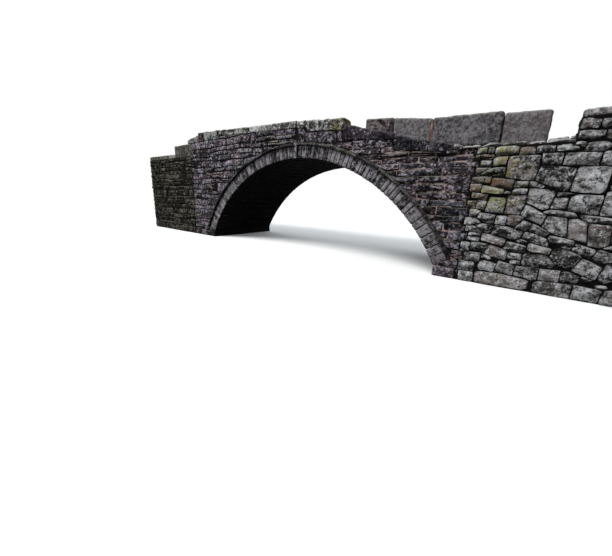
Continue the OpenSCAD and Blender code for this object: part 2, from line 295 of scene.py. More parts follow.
print("moss twice as bright", [round(c, 3) for c in scaled(MOSS_GREEN, 2)])

# %% [markdown]
# ## Marks that only some stones bear
# A mason's tool leaves strokes on the dressed stones of the ring. Rain carries iron out of the
# rubble and stains it brown, next to yellow lichen. Thin dark lines are cracks, thin pale lines
# are run mortar and lichen. Each mark is a function that lays its colour over the one it is
# given, so that a finish can take the mark or leave it.

# %% Strokes, stains, cracks and wisps


def tool_strokes(shader, colour, place, middle, dark, light):
    """Strokes of the tool on each ring stone, towards the middle of the arch."""
    x, y, z = place
    angle = x.maths("ARCTAN2", z - CENTRE_Z)
    around = shader.node("ShaderNodeCombineXYZ", {}, {"X": angle * 120.0, "Y": y * 3.0})
    streak = shader.noise(around["Vector"], 1.0, 4, 0.7) * 0.7 + middle * 0.3
    colour = shader.blend(streak.between(0.50, 0.62), colour, scaled(light, 1.9))
    return shader.blend((1 - streak).between(0.50, 0.64), colour, scaled(dark, 0.5))


def stains(shader, colour, at, place, tone, hue, reach):
    """Rust and yellow lichen from a start to an end along the bridge and above a foot, and
    a little of both elsewhere."""
    x, _, z = place
    start, end, foot, elsewhere = reach
    here = x.between(start, start + 0.3) * (1 - x.between(end, end + 0.8))
    amount = here * z.between(foot, foot + 0.4) * 0.85 + elsewhere
    rust = (shader.noise(at, 11.0, 6, 0.78) + hue * 0.13).between(0.54, 0.66)
    colour = shader.blend(rust * amount, colour, rgb(*RUST_BROWN))
    gold = (shader.noise(at, 16.0, 6, 0.78) + tone * 0.08).between(0.54, 0.64)
    return shader.blend(gold * amount, colour, rgb(*LICHEN_GOLD))


def dark_cracks(shader, colour, at, broad, dark, amount):
    """Thin dark lines where a soft noise passes through its middle value."""
    winding = (shader.noise(at, 4.3, 5, 0.6) - 0.5).maths("ABSOLUTE")
    line = (1 - winding.between(0.003, 0.012)) * broad.between(0.42, 0.50)
    return shader.blend(line * amount, colour, scaled(dark, 0.4))


def pale_wisps(shader, colour, at, amount):
    """Thin pale lines, mostly level, in some parts of the wall."""
    winding = shader.noise(shader.stretch(at, (1.6, 1.6, 5.5)), 2.4, 5, 0.62) - 0.5
    line = 1 - winding.maths("ABSOLUTE").between(0.004, 0.020)
    here = shader.noise(at, 2.7, 4, 0.7).between(0.45, 0.55)
    return shader.blend(line * here * amount, colour, rgb(*WISP_PINK))


def ring_edges(shader, colour, place, middle, edge, rim, dark):
    """Greyer stones at the right foot, stone ends darkened for joint dirt and painted shade, and
    painted shade along the underside of the ring.
    """
    x, _, z = place
    colour = shader.blend(x.between(1.6, 3.2) * middle.between(0.40, 0.62) * 0.3, colour,
                          rgb(*FOOT_GREY))
    colour = shader.blend(edge * rim, colour, scaled(dark, 0.3))
    # The edge along the underside of the ring is darkened: painted shade.
    out = (x * x + (z - CENTRE_Z) * (z - CENTRE_Z)).maths("SQRT")
    return shader.blend((1 - out.between(ARCH_R + 0.004, ARCH_R + 0.022)) * 0.93, colour,
                        scaled(dark, 0.25))


print("marks", [f.__name__ for f in (tool_strokes, stains, dark_cracks, pale_wisps, ring_edges)])

# %% [markdown]
# ## One recipe for every stone
# All finishes are one recipe with other amounts. The shade of a stone comes from its own tone,
# a broad stain, a grain and its beds. Film, soot, stains, a painted highlight on faces that look
# up, lichen and moss are laid over it, one after the other, and a painted shade on faces that
# look down.

# %% The recipe


def gritstone(name, dark, light, tint, *, film=0.5, lichen=0.5, moss=0.3, ochre=None,
              tooled=False, beds=0.6, rim=0.6, top=(0.22, 0.225, 0.19), relief=0.022,
              film_colour=(0.30, 0.285, 0.29), painted_under_shade=0.85, soot=0.6, cracks=0.0, spread=0.5,
              grain=1.5, wisps=0.0, bare=0.56, patch=7.0):
    """A finish between a dark and a light grey, with a tint on some stones. bare is how much
    of the stone the film leaves free, and patch how small the patches of soot are. top is the
    colour of the painted highlight on faces that look up, and the painted shade on faces that
    look down has an amount of its own."""
    shader = Shader(name)
    at = shader.place()
    place = shader.parts(at)
    marks = shader.node("ShaderNodeAttribute", {"attribute_name": "stone"})["Color"]
    tone, hue, edge = shader.parts(marks)
    broad = shader.noise(at, 1.9, 3)
    middle = shader.noise(at, 11.0, 5, 0.66)
    fine = shader.noise(at, 36.0, 5, 0.74)
    bed = shader.noise(shader.stretch(at, (2.5, 2.5, 17.0)), 1.6, 4, 0.62)
    texture = (middle - 0.5) * 0.90 + (fine - 0.5) * 0.75
    shade = (tone - 0.5) * spread + (broad - 0.5) * 0.3 + texture * grain + (bed - 0.5) * beds
    shade = shade + 0.5
    colour = shader.blend(shade.between(0.20, 0.84), rgb(*dark), rgb(*light))
    colour = shader.blend(hue.between(0.62, 1.0) * (0.3 + broad * 0.6), colour, rgb(*tint))
    if tooled:
        colour = tool_strokes(shader, colour, place, middle, dark, light)
    veil = shader.noise(at, 13.0, 6, 0.69) * 0.90 + tone * 0.14 * spread + broad * 0.20
    pale = veil.between(bare, bare + 0.08) * film
    colour = shader.blend(pale, colour, rgb(*film_colour))
    black = shader.noise(at, patch, 6, 0.68) * 0.9 + (1 - tone) * 0.20 * spread + edge * 0.05
    colour = shader.blend(black.between(0.47, 0.60) * soot, colour, scaled(dark, 0.5))
    if ochre:
        colour = stains(shader, colour, at, place, tone, hue, ochre)
    if cracks:
        colour = dark_cracks(shader, colour, at, broad, dark, cracks)
    # Each stone's rim is darkened: joint dirt, and painted shade in the joint.
    colour = shader.blend(edge * rim, colour, scaled(dark, 0.3))
    if wisps:
        colour = pale_wisps(shader, colour, at, wisps)
    # Faces that look up are lightened towards the top colour: painted highlight where light from
    # above falls.
    facing = shader.parts(shader.node("ShaderNodeNewGeometry")["Normal"])[2]
    upward = facing.between(0.20, 0.85)
    colour = shader.blend(upward * (0.25 + middle * 0.8) * (1 - edge * 0.5), colour, rgb(*top))
    crust = round_crusts(shader, at, fine, 15.0, 0.62, 0.75) * broad.between(0.40, 0.58)
    crust = crust.maths("MAXIMUM", round_crusts(shader, at, fine, 6.0, 0.84, 1.7) * 0.8)
    colour = shader.blend(crust * lichen, colour, rgb(*LICHEN_WHITE))
    green = shader.noise(at, 3.1, 6, 0.7) + upward * 0.17 + edge * 0.04
    growth = green.between(0.62, 0.73) * moss
    colour = shader.blend(growth, colour, rgb(*MOSS_GREEN))
    # Faces that look down are darkened: painted shade.
    under = (facing * -1.0).between(0.10, 0.65)
    colour = shader.blend(under * painted_under_shade, colour, scaled(dark, 0.25))
    if tooled:
        colour = ring_edges(shader, colour, place, middle, edge, rim, dark)
    rough = 0.94 - crust * 0.05 - growth * 0.02 - tone * 0.06
    height = middle * 0.55 + fine * 0.40 + bed * beds * 0.35 + crust * 0.08 + growth * 0.1
    return shader.finish(colour, rough, height, relief)


print("the recipe has", len(gritstone.__kwdefaults__), "amounts")

# %% [markdown]
# ## The bridge's finishes
# The coursed walls are slate black with a purple cast, the ring is a dressed grey, the copings
# are pale with lichen and a painted highlight on top, the upright slabs are smooth, the rubble
# is the palest, the hood is near black with painted shade, and the barrel is painted almost
# black as the shade under the arch. Each could have a material of its own making, but as calls
# of one recipe they keep the same grain, and look like stone of one quarry.

# %% Finishes
COAL = (0.005, 0.0045, 0.005)
PURPLE = (0.050, 0.032, 0.042)
coursed = gritstone("coursed_gritstone", COAL, (0.054, 0.051, 0.065), (0.054, 0.035, 0.040),
                    film=0.55, lichen=0.9, moss=0.08, soot=1.0, relief=0.10,
                    film_colour=(0.43, 0.41, 0.47), spread=0.50, grain=3.2, rim=0.35,
                    wisps=0.9, bare=0.60)
# A very dark finish for the left wing walls.
dark_wing_courses = gritstone("damp_gritstone", (0.003, 0.003, 0.0025), (0.038, 0.034, 0.028),
                         (0.034, 0.028, 0.021), film=0.45, lichen=0.4, moss=0.15, soot=1.0,
                         film_colour=(0.22, 0.20, 0.165), relief=0.08, grain=3.0,
                         bare=0.60)
ring_stone = gritstone("ring_gritstone", (0.006, 0.0055, 0.007), (0.195, 0.184, 0.202),
                       (0.085, 0.060, 0.066), film=0.35, lichen=0.3, moss=0.03, tooled=True,
                       beds=0.1, rim=0.75, painted_under_shade=1.0, soot=0.55, relief=0.055, grain=2.4)
# The hood is finished near black: dark stone, with painted shade for the shadow line under its
# edge.
hood_stone = gritstone("hood_gritstone", (0.003, 0.003, 0.003), (0.034, 0.031, 0.032),
                       PURPLE, film=0.22, lichen=0.3, moss=0.75, top=(0.050, 0.048, 0.044),
                       painted_under_shade=1.0, soot=0.9, relief=0.045, grain=2.2)
coping_pale = gritstone("coping_gritstone", (0.016, 0.016, 0.016), (0.200, 0.200, 0.192),
                        (0.085, 0.092, 0.062), film=0.90, lichen=0.7, moss=0.25,
                        top=(0.29, 0.295, 0.255), film_colour=(0.40, 0.40, 0.39), soot=0.85,
                        relief=0.07, grain=2.2, ochre=(0.95, 2.2, 2.7, 0.03))
coping_left = gritstone("left_coping_gritstone", (0.008, 0.008, 0.007), (0.100, 0.101, 0.094),
                        (0.062, 0.060, 0.042), film=0.72, lichen=0.9, moss=0.45,
                        top=(0.18, 0.185, 0.155), film_colour=(0.345, 0.352, 0.33), soot=1.0,
                        relief=0.08, grain=2.6, spread=0.8)
coping_dark = gritstone("dark_block_gritstone", (0.002, 0.002, 0.002),
                        (0.036, 0.032, 0.041), PURPLE, film=0.55, lichen=0.9, moss=0.04,
                        soot=1.0, top=(0.070, 0.065, 0.073), relief=0.12,
                        film_colour=(0.33, 0.32, 0.35), spread=0.3, grain=3.0,
                        bare=0.61)
slab_stone = gritstone("slab_gritstone", (0.020, 0.019, 0.020), (0.145, 0.136, 0.144),
                       (0.100, 0.086, 0.088), film=0.45, lichen=0.2, moss=0.03, beds=0.3,
                       film_colour=(0.23, 0.22, 0.23), soot=0.45, grain=1.7, patch=14.0,
                       relief=0.05, rim=0.8, spread=0.35)
slab_brown = gritstone("brown_slab_gritstone", (0.006, 0.005, 0.005), (0.080, 0.060, 0.060),
                       (0.060, 0.042, 0.040), film=0.30, lichen=0.3, moss=0.20, grain=2.6,
                       soot=0.95, relief=0.09)
rubble = gritstone("rubble_gritstone", (0.010, 0.010, 0.0105), (0.390, 0.385, 0.395),
                   (0.215, 0.180, 0.172), film=0.88, lichen=0.5, moss=0.08,
                   ochre=(3.8, 4.4, 1.1, 0.06),
                   rim=0.85, relief=0.11, film_colour=(0.56, 0.56, 0.58), bare=0.585,
                   top=(0.40, 0.40, 0.39), soot=0.7, cracks=0.85, spread=0.34, grain=3.2,
                   patch=16.0, beds=1.2)
paving = gritstone("paving_gritstone", (0.040, 0.036, 0.030), (0.200, 0.185, 0.160),
                   (0.120, 0.095, 0.070), film=0.4, lichen=0.3, moss=0.28, beds=0.1,
                   top=(0.20, 0.185, 0.160), soot=0.6, grain=2.0)
# The barrel's finish is almost black: painted shade under the arch.
soffit = gritstone("barrel_gritstone", (0.001, 0.001, 0.0008), (0.011, 0.010, 0.008),
                   (0.009, 0.009, 0.006), film=0.05, lichen=0.0, moss=0.15, beds=0.2,
                   film_colour=(0.03, 0.03, 0.025))
print("finishes", [m.name for m in bpy.data.materials if m.name.endswith("gritstone")])

# %% [markdown]
# ## Mortar, hearting and packed earth
# Between the stones lies the plain solid. On the right of the arch it was pointed with a
# pinkish sandy mortar, on the left the joints are old and dark, and behind dry rubble the solid
# is near black: painted shade in the gaps, over dark soil. Often one material draws both the
# stones and the joints. Here each joint is a real gap, so the solid needs only the mortar's
# colour: a dark one, and a pale one that takes over between two places along the bridge.

# %% Mortar


def bedding(name, dark, pale, pale_from, pale_to, low_end=2.36):
    """Mortar that turns from dark to pale along the bridge, between two places, and stays
    dark above a height: painted shade in the seats under the copings."""
    shader = Shader(name)
    at = shader.place()
    along, _, high = shader.parts(at)
    sandy = shader.noise(at, 5.0, 5, 0.65)
    fine = shader.noise(at, 60.0, 3)
    patches = shader.noise(at, 2.3, 4, 0.7)
    fresh = (along + (patches - 0.5) * 14.0).between(pale_from, pale_to)
    # Above low_end the pale mortar turns dark: painted shade under the copings.
    fresh = fresh * (1 - high.between(low_end, low_end + 0.16))
    colour = shader.blend(fresh * sandy.between(0.42, 0.60), rgb(*dark), rgb(*pale))
    colour = shader.blend(fine * 0.5, colour, rgb(*(c * 0.5 for c in dark)))
    return shader.finish(colour, 0.95, fine * 0.6 + sandy, 0.015)


mortar = bedding("lime_mortar", (0.005, 0.0045, 0.0045), (0.420, 0.325, 0.305), -0.6, 3.2)
pointing = bedding("slab_pointing", (0.100, 0.052, 0.045), (0.330, 0.190, 0.160), -19, -9,
                   low_end=9)
old_mortar = bedding("old_mortar", (0.006, 0.006, 0.005), (0.020, 0.018, 0.016), -9, 9)
# Behind dry rubble: near black, painted shade in the gaps over dark soil.
dry_hearting = bedding("dry_hearting", (0.003, 0.003, 0.003), (0.008, 0.007, 0.006), -9, 9)
earth = bedding("packed_earth", (0.045, 0.034, 0.025), (0.105, 0.082, 0.060), -9, 9)
print("beddings", [m.name for m in (mortar, pointing, old_mortar, dry_hearting, earth)])

# %% Finishes of the plain solids


def dress(material, *names):
    """Gives solids of the packed model a finish."""
    for name in names:
        mesh = NODES[name].data
        mesh.materials.clear()
        mesh.materials.append(material)


dress(mortar, "spandrel_near_left", "spandrel_near_right", "parapet_near_left",
      "parapet_near_right", "spandrel_far_left", "spandrel_far_right", "parapet_far_left",
      "parapet_far_right", "abutment_left", "abutment_right")
dress(old_mortar, "wing_wall_near_left", "wing_wall_far_left", "arch_barrel")
dress(dry_hearting, "wing_wall_near_right", "wing_wall_far_right", "raised_wall_near",
      "raised_wall_far")
dress(earth, "hearting_left", "hearting_right", "approach_fill_left", "approach_fill_right",
      "deck_paving_left", "deck_paving_right", "approach_paving_left",
      "approach_paving_right")
print("solids with a finish", sum(bool(n.data.materials) for n in NODES.values()))

# %% [markdown]
# ## Pattern stones
# A bridge holds thousands of stones, so a few pattern stones are modelled and copied
# into every place. A pattern fills a square of two units: its face looks up at height 1, its
# rim drops towards the wall, and its back at -1 will lie inside the wall as a single face.

# %% Selecting in code


def deselect():
    """Leaves edit mode and selects nothing."""
    if bpy.context.object and bpy.context.object.mode == "EDIT":
        bpy.ops.object.mode_set(mode="OBJECT")
    bpy.ops.object.select_all(action="DESELECT")


def pick_points(obj, test):
    """Selects the points of a mesh in edit mode whose place passes a test."""
    bpy.ops.mesh.select_all(action="DESELECT")
    bpy.ops.mesh.select_mode(type="VERT")
    shape = bmesh.from_edit_mesh(obj.data)
    for point in shape.verts:
        point.select = test(point.co)
    shape.select_flush_mode()
    bmesh.update_edit_mesh(obj.data)


def from_middle(p):
    """How far out a point of a pattern lies: 0 at the middle, 1 all along the rim."""
    return max(abs(p.x), abs(p.y))


print("the rim of a pattern is at", from_middle(Vector((0.3, -1, 1))))

# %% Modelling a pattern stone
BACK_Z = -1.0


def model_pattern(name, rows, rings, lumps, seed):
    """A stone of rows x rows faces; rings gives each ring's new reach and drop."""
    deselect()
    bpy.ops.mesh.primitive_grid_add(x_subdivisions=rows, y_subdivisions=rows, size=2,
                                    location=(0, 0, 1))
    stone = bpy.context.object
    stone.name = name
    bpy.ops.object.transform_apply(location=True)
    bpy.ops.object.mode_set(mode="EDIT")
    bpy.ops.mesh.select_all(action="SELECT")
    bpy.ops.mesh.extrude_region_move(
        TRANSFORM_OT_translate={"value": (0, 0, BACK_Z - 1)})
    bpy.ops.mesh.dissolve_faces()
    bpy.ops.mesh.select_all(action="SELECT")
    bpy.ops.mesh.normals_make_consistent(inside=False)
    for ring, (reach, _) in enumerate(rings):
        old = 1 - ring * 2 / rows
        pick_points(stone, lambda p: p.z > 0.5 and abs(from_middle(p) - old) < 1e-3)
        bpy.ops.transform.resize(value=(reach / old, reach / old, 1),
                                 center_override=(0, 0, 0))
    for reach, drop in rings:
        pick_points(stone, lambda p: p.z > 0.5 and abs(from_middle(p) - reach) < 1e-3)
        bpy.ops.transform.translate(value=(0, 0, -drop))
    pick_points(stone, lambda p: p.z > 0 and from_middle(p) < 0.96)
    bpy.ops.transform.vertex_random(offset=lumps, uniform=0.0, normal=0.0, seed=seed)
    bpy.ops.object.mode_set(mode="OBJECT")
    points = np.array([v.co[:] for v in stone.data.vertices])
    faces = [list(f.vertices) for f in stone.data.polygons]
    bpy.data.objects.remove(stone)
    quads = np.array([f for f in faces if len(f) == 4])
    back = np.array([f for f in faces if len(f) > 4])
    return points, quads, back


EACH = 8
SQUARED = [model_pattern(f"squared_{i}", 4, [(1.0, 0.62), (0.84, 0.06)], 0.16, i)
           for i in range(EACH)]
ROUNDED = [model_pattern(f"rounded_{i}", 6, [(1.0, 0.90), (0.90, 0.30), (0.58, 0.04)],
                         0.08, 10 + i) for i in range(EACH)]
BOULDER = [model_pattern(f"boulder_{i}", 8,
                         [(1.0, 0.92), (0.94, 0.36), (0.76, 0.08), (0.40, 0.02)], 0.05,
                         20 + i) for i in range(EACH)]
print("pattern faces", [len(p[0][1]) + 1 for p in (SQUARED, ROUNDED, BOULDER)])

# %% [markdown]
# ## From an outline to a stone
# A place for a stone is a convex outline on the wall, as a mason sees the hole that a stone
# has to fill. The pattern is stretched so that its rim follows that outline, leaves half a
# joint, and its face stands proud by a few centimetres, each a little tilted.

# %% Cutting and measuring outlines


def keep_side(outline, point, outward):
    """Cuts a convex outline at a line and keeps the part that outward points away from."""
    kept = []
    heights = [(p[0] - point[0]) * outward[0] + (p[1] - point[1]) * outward[1]
               for p in outline]
    for i, p in enumerate(outline):
        q = outline[(i + 1) % len(outline)]
        here, there = heights[i], heights[(i + 1) % len(outline)]
        if here <= 0:
            kept.append(p)
        if here * there < 0:
            share = here / (here - there)
            kept.append((p[0] + (q[0] - p[0]) * share, p[1] + (q[1] - p[1]) * share))
    return kept


def area(outline):
    """Area of an outline, from the cross products of its corners."""
    total = 0
    for i, p in enumerate(outline):
        q = outline[(i + 1) % len(outline)]
        total += p[0] * q[1] - q[0] * p[1]
    return abs(total) / 2


def rim_reach(outline, angles):
    """Distance from 0, 0 to a convex outline's edge in each of the given directions."""
    points = np.array(outline)
    others = np.roll(points, -1, axis=0)
    steps = others - points
    normals = np.stack([steps[:, 1], -steps[:, 0]], axis=1)
    offsets = (normals * points).sum(axis=1)
    flip = np.where(offsets < 0, -1.0, 1.0)
    normals = normals * flip[:, None]
    offsets = offsets * flip
    towards = np.stack([np.cos(angles), np.sin(angles)], axis=1)
    along = towards @ normals.T
    reach = np.where(along > 1e-9, offsets / np.maximum(along, 1e-9), np.inf)
    return reach.min(axis=1)


square = [(0, 0), (1, 0), (1, 1), (0, 1)]
print("half a square has an area of", area(keep_side(square, (0.5, 0), (1, 0))))

# %% [markdown]
# Each point of a pattern keeps its direction from the stone's middle and its share of the way
# to the rim. Facets are planes that cut a corner of the face away, as a break in the stone does.

# %% Shaping a stone
CORNER_REACH = 1.42
LEAST_HALF = 0.4
LEAST_HEIGHT = 0.05
RIM_FROM = 0.97


def shape_stone(outline, points, joint, proud, tilt, bury, turn, facets):
    """Stretches a pattern stone into an outline. Returns its points and their rim value."""
    outline = np.array(outline)
    low, high = outline.min(axis=0), outline.max(axis=0)
    middle = (low + high) / 2
    half = (high - low) / 2
    local = (outline - middle) / half
    flat = points[:, :2] * turn
    size = np.abs(flat).max(axis=1)
    angles = np.arctan2(flat[:, 1], flat[:, 0])
    reach = np.minimum(rim_reach(local, angles), CORNER_REACH)
    direction = np.stack([np.cos(angles), np.sin(angles)], axis=1)
    inner = np.maximum(half - joint / 2, half * LEAST_HALF)
    placed = middle + direction * (reach * size)[:, None] * inner
    height = points[:, 2] * (1 + tilt[0] * flat[:, 0] + tilt[1] * flat[:, 1])
    for facing, slope, start in facets:
        away = flat[:, 0] * math.cos(facing) + flat[:, 1] * math.sin(facing)
        height = np.minimum(height, np.maximum(start - slope * away, LEAST_HEIGHT))
    out = np.where(points[:, 2] > 0, height * proud, points[:, 2] * bury)
    rim = (size > RIM_FROM).astype(float)
    return np.column_stack([placed, out]), rim


sample = shape_stone([(0, 0), (0.4, 0), (0.4, 0.2), (0, 0.2)], SQUARED[0][0], 0.014, 0.03,
                     (0, 0), 0.03, (1, 1), [])[0]
print("a sample stone measures", np.ptp(sample, axis=0).round(3), "m")

# %% [markdown]
# The stones of one part of the bridge are joined in one mesh. It is filled from arrays, which
# is far quicker than one object for each stone, and then takes modifiers like any other mesh.

# %% A mesh from arrays, and its weather


def mesh_from(name, points, quads, backs, marks):
    """A mesh of four-sided faces and many-sided backs, with a mark on each point."""
    corners = np.concatenate([quads.ravel()] + [b.ravel() for b in backs])
    counts = [4] * len(quads)
    for back in backs:
        counts.extend([back.shape[1]] * len(back))
    starts = np.concatenate([[0], np.cumsum(counts)[:-1]])
    mesh = bpy.data.meshes.new(name)
    mesh.vertices.add(len(points))
    mesh.vertices.foreach_set("co", points.ravel())
    mesh.loops.add(len(corners))
    mesh.loops.foreach_set("vertex_index", corners.astype(np.int32))
    mesh.polygons.add(len(counts))
    mesh.polygons.foreach_set("loop_start", starts.astype(np.int32))
    mesh.update(calc_edges=True)
    layer = mesh.attributes.new("stone", "FLOAT_COLOR", "POINT")
    layer.data.foreach_set("color", marks.ravel().astype(np.float32))
    obj = bpy.data.objects.new(name, mesh)
    bpy.context.collection.objects.link(obj)
    return obj


def apply(obj, kind, **settings):
    """Adds a modifier, sets it and applies it."""
    bpy.context.view_layer.objects.active = obj
    modifier = obj.modifiers.new(kind.lower(), kind)
    for key, value in settings.items():
        setattr(modifier, key, value)
    bpy.ops.object.modifier_apply(modifier=modifier.name)


def roughen(obj, size, strength):
    """Moves the surface in and out by a soft noise, as weather does."""
    texture = bpy.data.textures.new(f"{obj.name}_weather", "CLOUDS")
    texture.noise_scale = size
    texture.noise_depth = 2
    apply(obj, "DISPLACE", texture=texture, texture_coords="LOCAL", strength=strength,
          mid_level=0.5)


def keep_inside(obj, margin=0.002):
    """Pushes points back that weather has moved out of the box of the plain solids."""
    mesh = obj.data
    places = np.empty(len(mesh.vertices) * 3)
    mesh.vertices.foreach_get("co", places)
    places = places.reshape(-1, 3)
    low = np.array(CAD_BOX[0]) + margin
    high = np.array(CAD_BOX[1]) - margin
    low[2] = 0.0
    mesh.vertices.foreach_set("co", np.clip(places, low, high).ravel())
    mesh.update()


print("weathered points stay between", [round(v, 3) for v in CAD_BOX[0]], "and",
      [round(v, 3) for v in CAD_BOX[1]])

# %% [markdown]
# A mason lays one part of the bridge at a time. For each outline the mason picks a pattern,
# turns it over at will, lets it stand proud or lean a little, knocks off corners, and marks it
# with its tone, its tint and its rim, which the finish darkens for joint dirt and as painted
# shade in the joint.

# %% The mason
FULL_TURN = 6.28
SMALLEST_STONE = 0.0012


class Mason:
    """Collects shaped stones on mapped surfaces and joins them as one piece."""

    def __init__(self, name, material, slot, seed):
        self.name = name
        self.material = material
        self.slot = slot
        self.random = random.Random(seed)
        self.points = []
        self.quads = []
        self.backs = []
        self.marks = []
        self.total = 0

    def lay(self, outlines, place, patterns=SQUARED, joint=0.014, proud=(0.010, 0.032),
            bury=0.03, lean=0.3, tone=(0.0, 1.0), facets=1, most=0.2):
        """Lays a stone in each outline. place turns u, v and the height out of the wall
        into a point. A stone stands proud by a share of a range, is buried in the wall, leans
        and has facets, and most is the greatest height that is left free for it."""
        probe = place(np.array([[0.0, 1.0, 0.0], [0.01, 1.0, 0.0], [0.0, 1.01, 0.0],
                                [0.0, 1.0, 0.01]]))
        sides = [probe[i] - probe[0] for i in (1, 2, 3)]
        mirrored = np.dot(np.cross(sides[0], sides[1]), sides[2]) < 0
        draw = self.random
        for outline in outlines:
            points, quads, back = draw.choice(patterns)
            stand = draw.uniform(*proud)
            tilt = (draw.uniform(-lean, lean), draw.uniform(-lean, lean))
            turn = (draw.choice((-1, 1)), draw.choice((-1, 1)))
            own = (draw.uniform(*tone), draw.random())
            cuts = [(draw.uniform(0, FULL_TURN), draw.uniform(0.5, 1.3),
                     draw.uniform(1.0, 1.35)) for _ in range(facets)]
            if len(outline) < 3 or area(outline) < SMALLEST_STONE:
                continue
            gap = joint * draw.uniform(0.5, 1.6)
            shaped, rim = shape_stone(outline, points, gap, stand, tilt, bury, turn, cuts)
            shaped[:, 2] = np.minimum(shaped[:, 2], most)
            if mirrored != (turn[0] * turn[1] < 0):
                quads = quads[:, ::-1]
                back = back[:, ::-1]
            self.points.append(place(shaped))
            self.quads.append(quads + self.total)
            self.backs.append(back + self.total)
            self.marks.append(np.column_stack([
                np.full(len(rim), own[0]), np.full(len(rim), own[1]), rim,
                np.ones(len(rim))]))
            self.total += len(shaped)

    def finish(self, weather=0.008, size=0.06, sharp=38):
        """Joins the stones as one piece that rides on the bridge."""
        obj = mesh_from(self.name, np.concatenate(self.points), np.concatenate(self.quads),
                        self.backs, np.concatenate(self.marks))
        roughen(obj, size, weather)
        keep_inside(obj)
        deselect()
        bpy.context.view_layer.objects.active = obj
        obj.select_set(True)
        bpy.ops.object.shade_smooth_by_angle(angle=math.radians(sharp))
        obj.data.materials.append(self.material)
        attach(obj, "root")
        obj.data.calc_loop_triangles()
        print(self.name, len(self.points), "stones", len(obj.data.loop_triangles),
              "triangles")


print("smallest stone", SMALLEST_STONE * 1e4, "square centimetres")

# %% [markdown]
# ## Surfaces of the bridge
# A wall's outlines lie flat, with u along the bridge and v up. Each surface has a small
# function that carries them into place: the two faces, the inner sides of the parapets, the
# ends of the approaches, the deck from above and the round underside of the arch.

# %% Surfaces


def on_near(p):
    return np.column_stack([p[:, 0], -FACE_Y - p[:, 2], p[:, 1]])


def on_far(p):
    return np.column_stack([p[:, 0], FACE_Y + p[:, 2], p[:, 1]])


def on_near_inner(p):
    return np.column_stack([p[:, 0], -CORE_Y + p[:, 2], p[:, 1]])


def on_far_inner(p):
    return np.column_stack([p[:, 0], CORE_Y - p[:, 2], p[:, 1]])


def facing_x(x, way):
    """A face across the bridge at x that looks along X (way 1) or back (way -1)."""
    return lambda p: np.column_stack([x + way * p[:, 2], p[:, 0], p[:, 1]])


def on_soffit(p):
    """u is the length round the arch from the crown, v runs across the bridge."""
    radius = ARCH_R - p[:, 2]
    angle = p[:, 0] / ARCH_R
    return np.column_stack([radius * np.sin(angle), p[:, 1],
                            CENTRE_Z + radius * np.cos(angle)])


print("a stone 3 cm out of the near face lies at y",
      on_near(np.array([[0.0, 1.0, 0.03]]))[0][1].round(3))

# %% [markdown]
# Heights are asked of the solids themselves: a ray goes down, and the first solid that it
# meets gives the top of a wall or the line of the deck at that place.

# %% Heights and the deck's line
TREES = {}


def look(node, start, direction):
    """The first point of a solid that a line from start meets, or None."""
    if node not in TREES:
        shape = bmesh.new()
        shape.from_mesh(NODES[node].data)
        TREES[node] = BVHTree.FromBMesh(shape)
        shape.free()
    return TREES[node].ray_cast(Vector(start), Vector(direction))[0]


def top_of(nodes, x, y):
    """Height of the highest solid among the named ones at a place."""
    hits = [look(n, (x, y, 9), (0, 0, -1)) for n in nodes]
    heights = [h.z for h in hits if h is not None]
    return max(heights) if heights else None


DECK = ("approach_paving_left", "deck_paving_left", "deck_paving_right",
        "approach_paving_right")


def deck_z(x):
    inside = max(-REACH + 0.001, min(REACH - 0.001, x))
    return top_of(DECK, inside, 0.0)


DECK_X = [-REACH, LEFT_X, 0.0, 0.7, 1.4, 2.5, RIGHT_X, REACH]
DECK_Z = [deck_z(x) for x in DECK_X]


def on_deck(p):
    z = np.interp(p[:, 0], DECK_X, DECK_Z)
    return np.column_stack([p[:, 0], p[:, 1], z + p[:, 2]])


print("deck heights", [round(z, 3) for z in DECK_Z])

# %% [markdown]
# ## Coursed masonry
# Courses run level from end to end, though no bed is quite straight. A course is cut into
# stones of uneven length, and each stone is trimmed by what it meets: the curve of the hood,
# the foot of a coping, the end of the wall.

# %% Beds and courses
LONG_WAVE, SHORT_WAVE = 1.9, 5.3
LEAN = 0.012
SHORTEST = 0.7


def beds(low, high, heights, draw):
    """Heights of the bed joints from low to high, for courses between two heights."""
    lines = [low]
    while lines[-1] < high:
        lines.append(lines[-1] + draw.uniform(*heights))
    return lines


def course_outlines(lines, u0, u1, lengths, draw, wave=0.012, ends=None, split=0.0,
                    loose=0.010):
    """Four-sided outlines of the stones of all courses between u0 and u1, or the end given
    for each course. A share of the stones is split into two thin ones, and the corners
    stand back by up to the loose distance."""
    outlines = []
    phase = [draw.uniform(0, FULL_TURN) for _ in lines]

    def bed(i, u):
        long_wave = wave * math.sin(u * LONG_WAVE + phase[i])
        return lines[i] + long_wave + wave * 0.6 * math.sin(u * SHORT_WAVE + 2 * phase[i])

    for i in range(len(lines) - 1):
        high = lines[i + 1] - lines[i]
        end = ends[i] if ends else u1
        u = u0
        while u < end - 0.01:
            b = u + draw.uniform(*lengths) * (0.75 + high / 0.4)
            if end - b < lengths[0] * SHORTEST:
                b = end
            lean = 0.0 if b == end else draw.uniform(-LEAN, LEAN)
            corners = [(u, bed(i, u)), (b, bed(i, b)), (b + lean, bed(i + 1, b)),
                       (u, bed(i + 1, u))]
            corners = [(p[0] + s * draw.uniform(0, loose), p[1] + t * draw.uniform(0, loose))
                       for p, (s, t) in zip(corners, ((1, 1), (-1, 1), (-1, -1), (1, -1)))]
            if draw.random() < split:
                cut = draw.uniform(0.35, 0.65)
                left = (u, corners[0][1] * (1 - cut) + corners[3][1] * cut)
                right = (b, corners[1][1] * (1 - cut) + corners[2][1] * cut)
                outlines.append([corners[0], corners[1], right, left])
                outlines.append([left, right, corners[2], corners[3]])
            else:
                outlines.append(corners)
            u = b
    return outlines


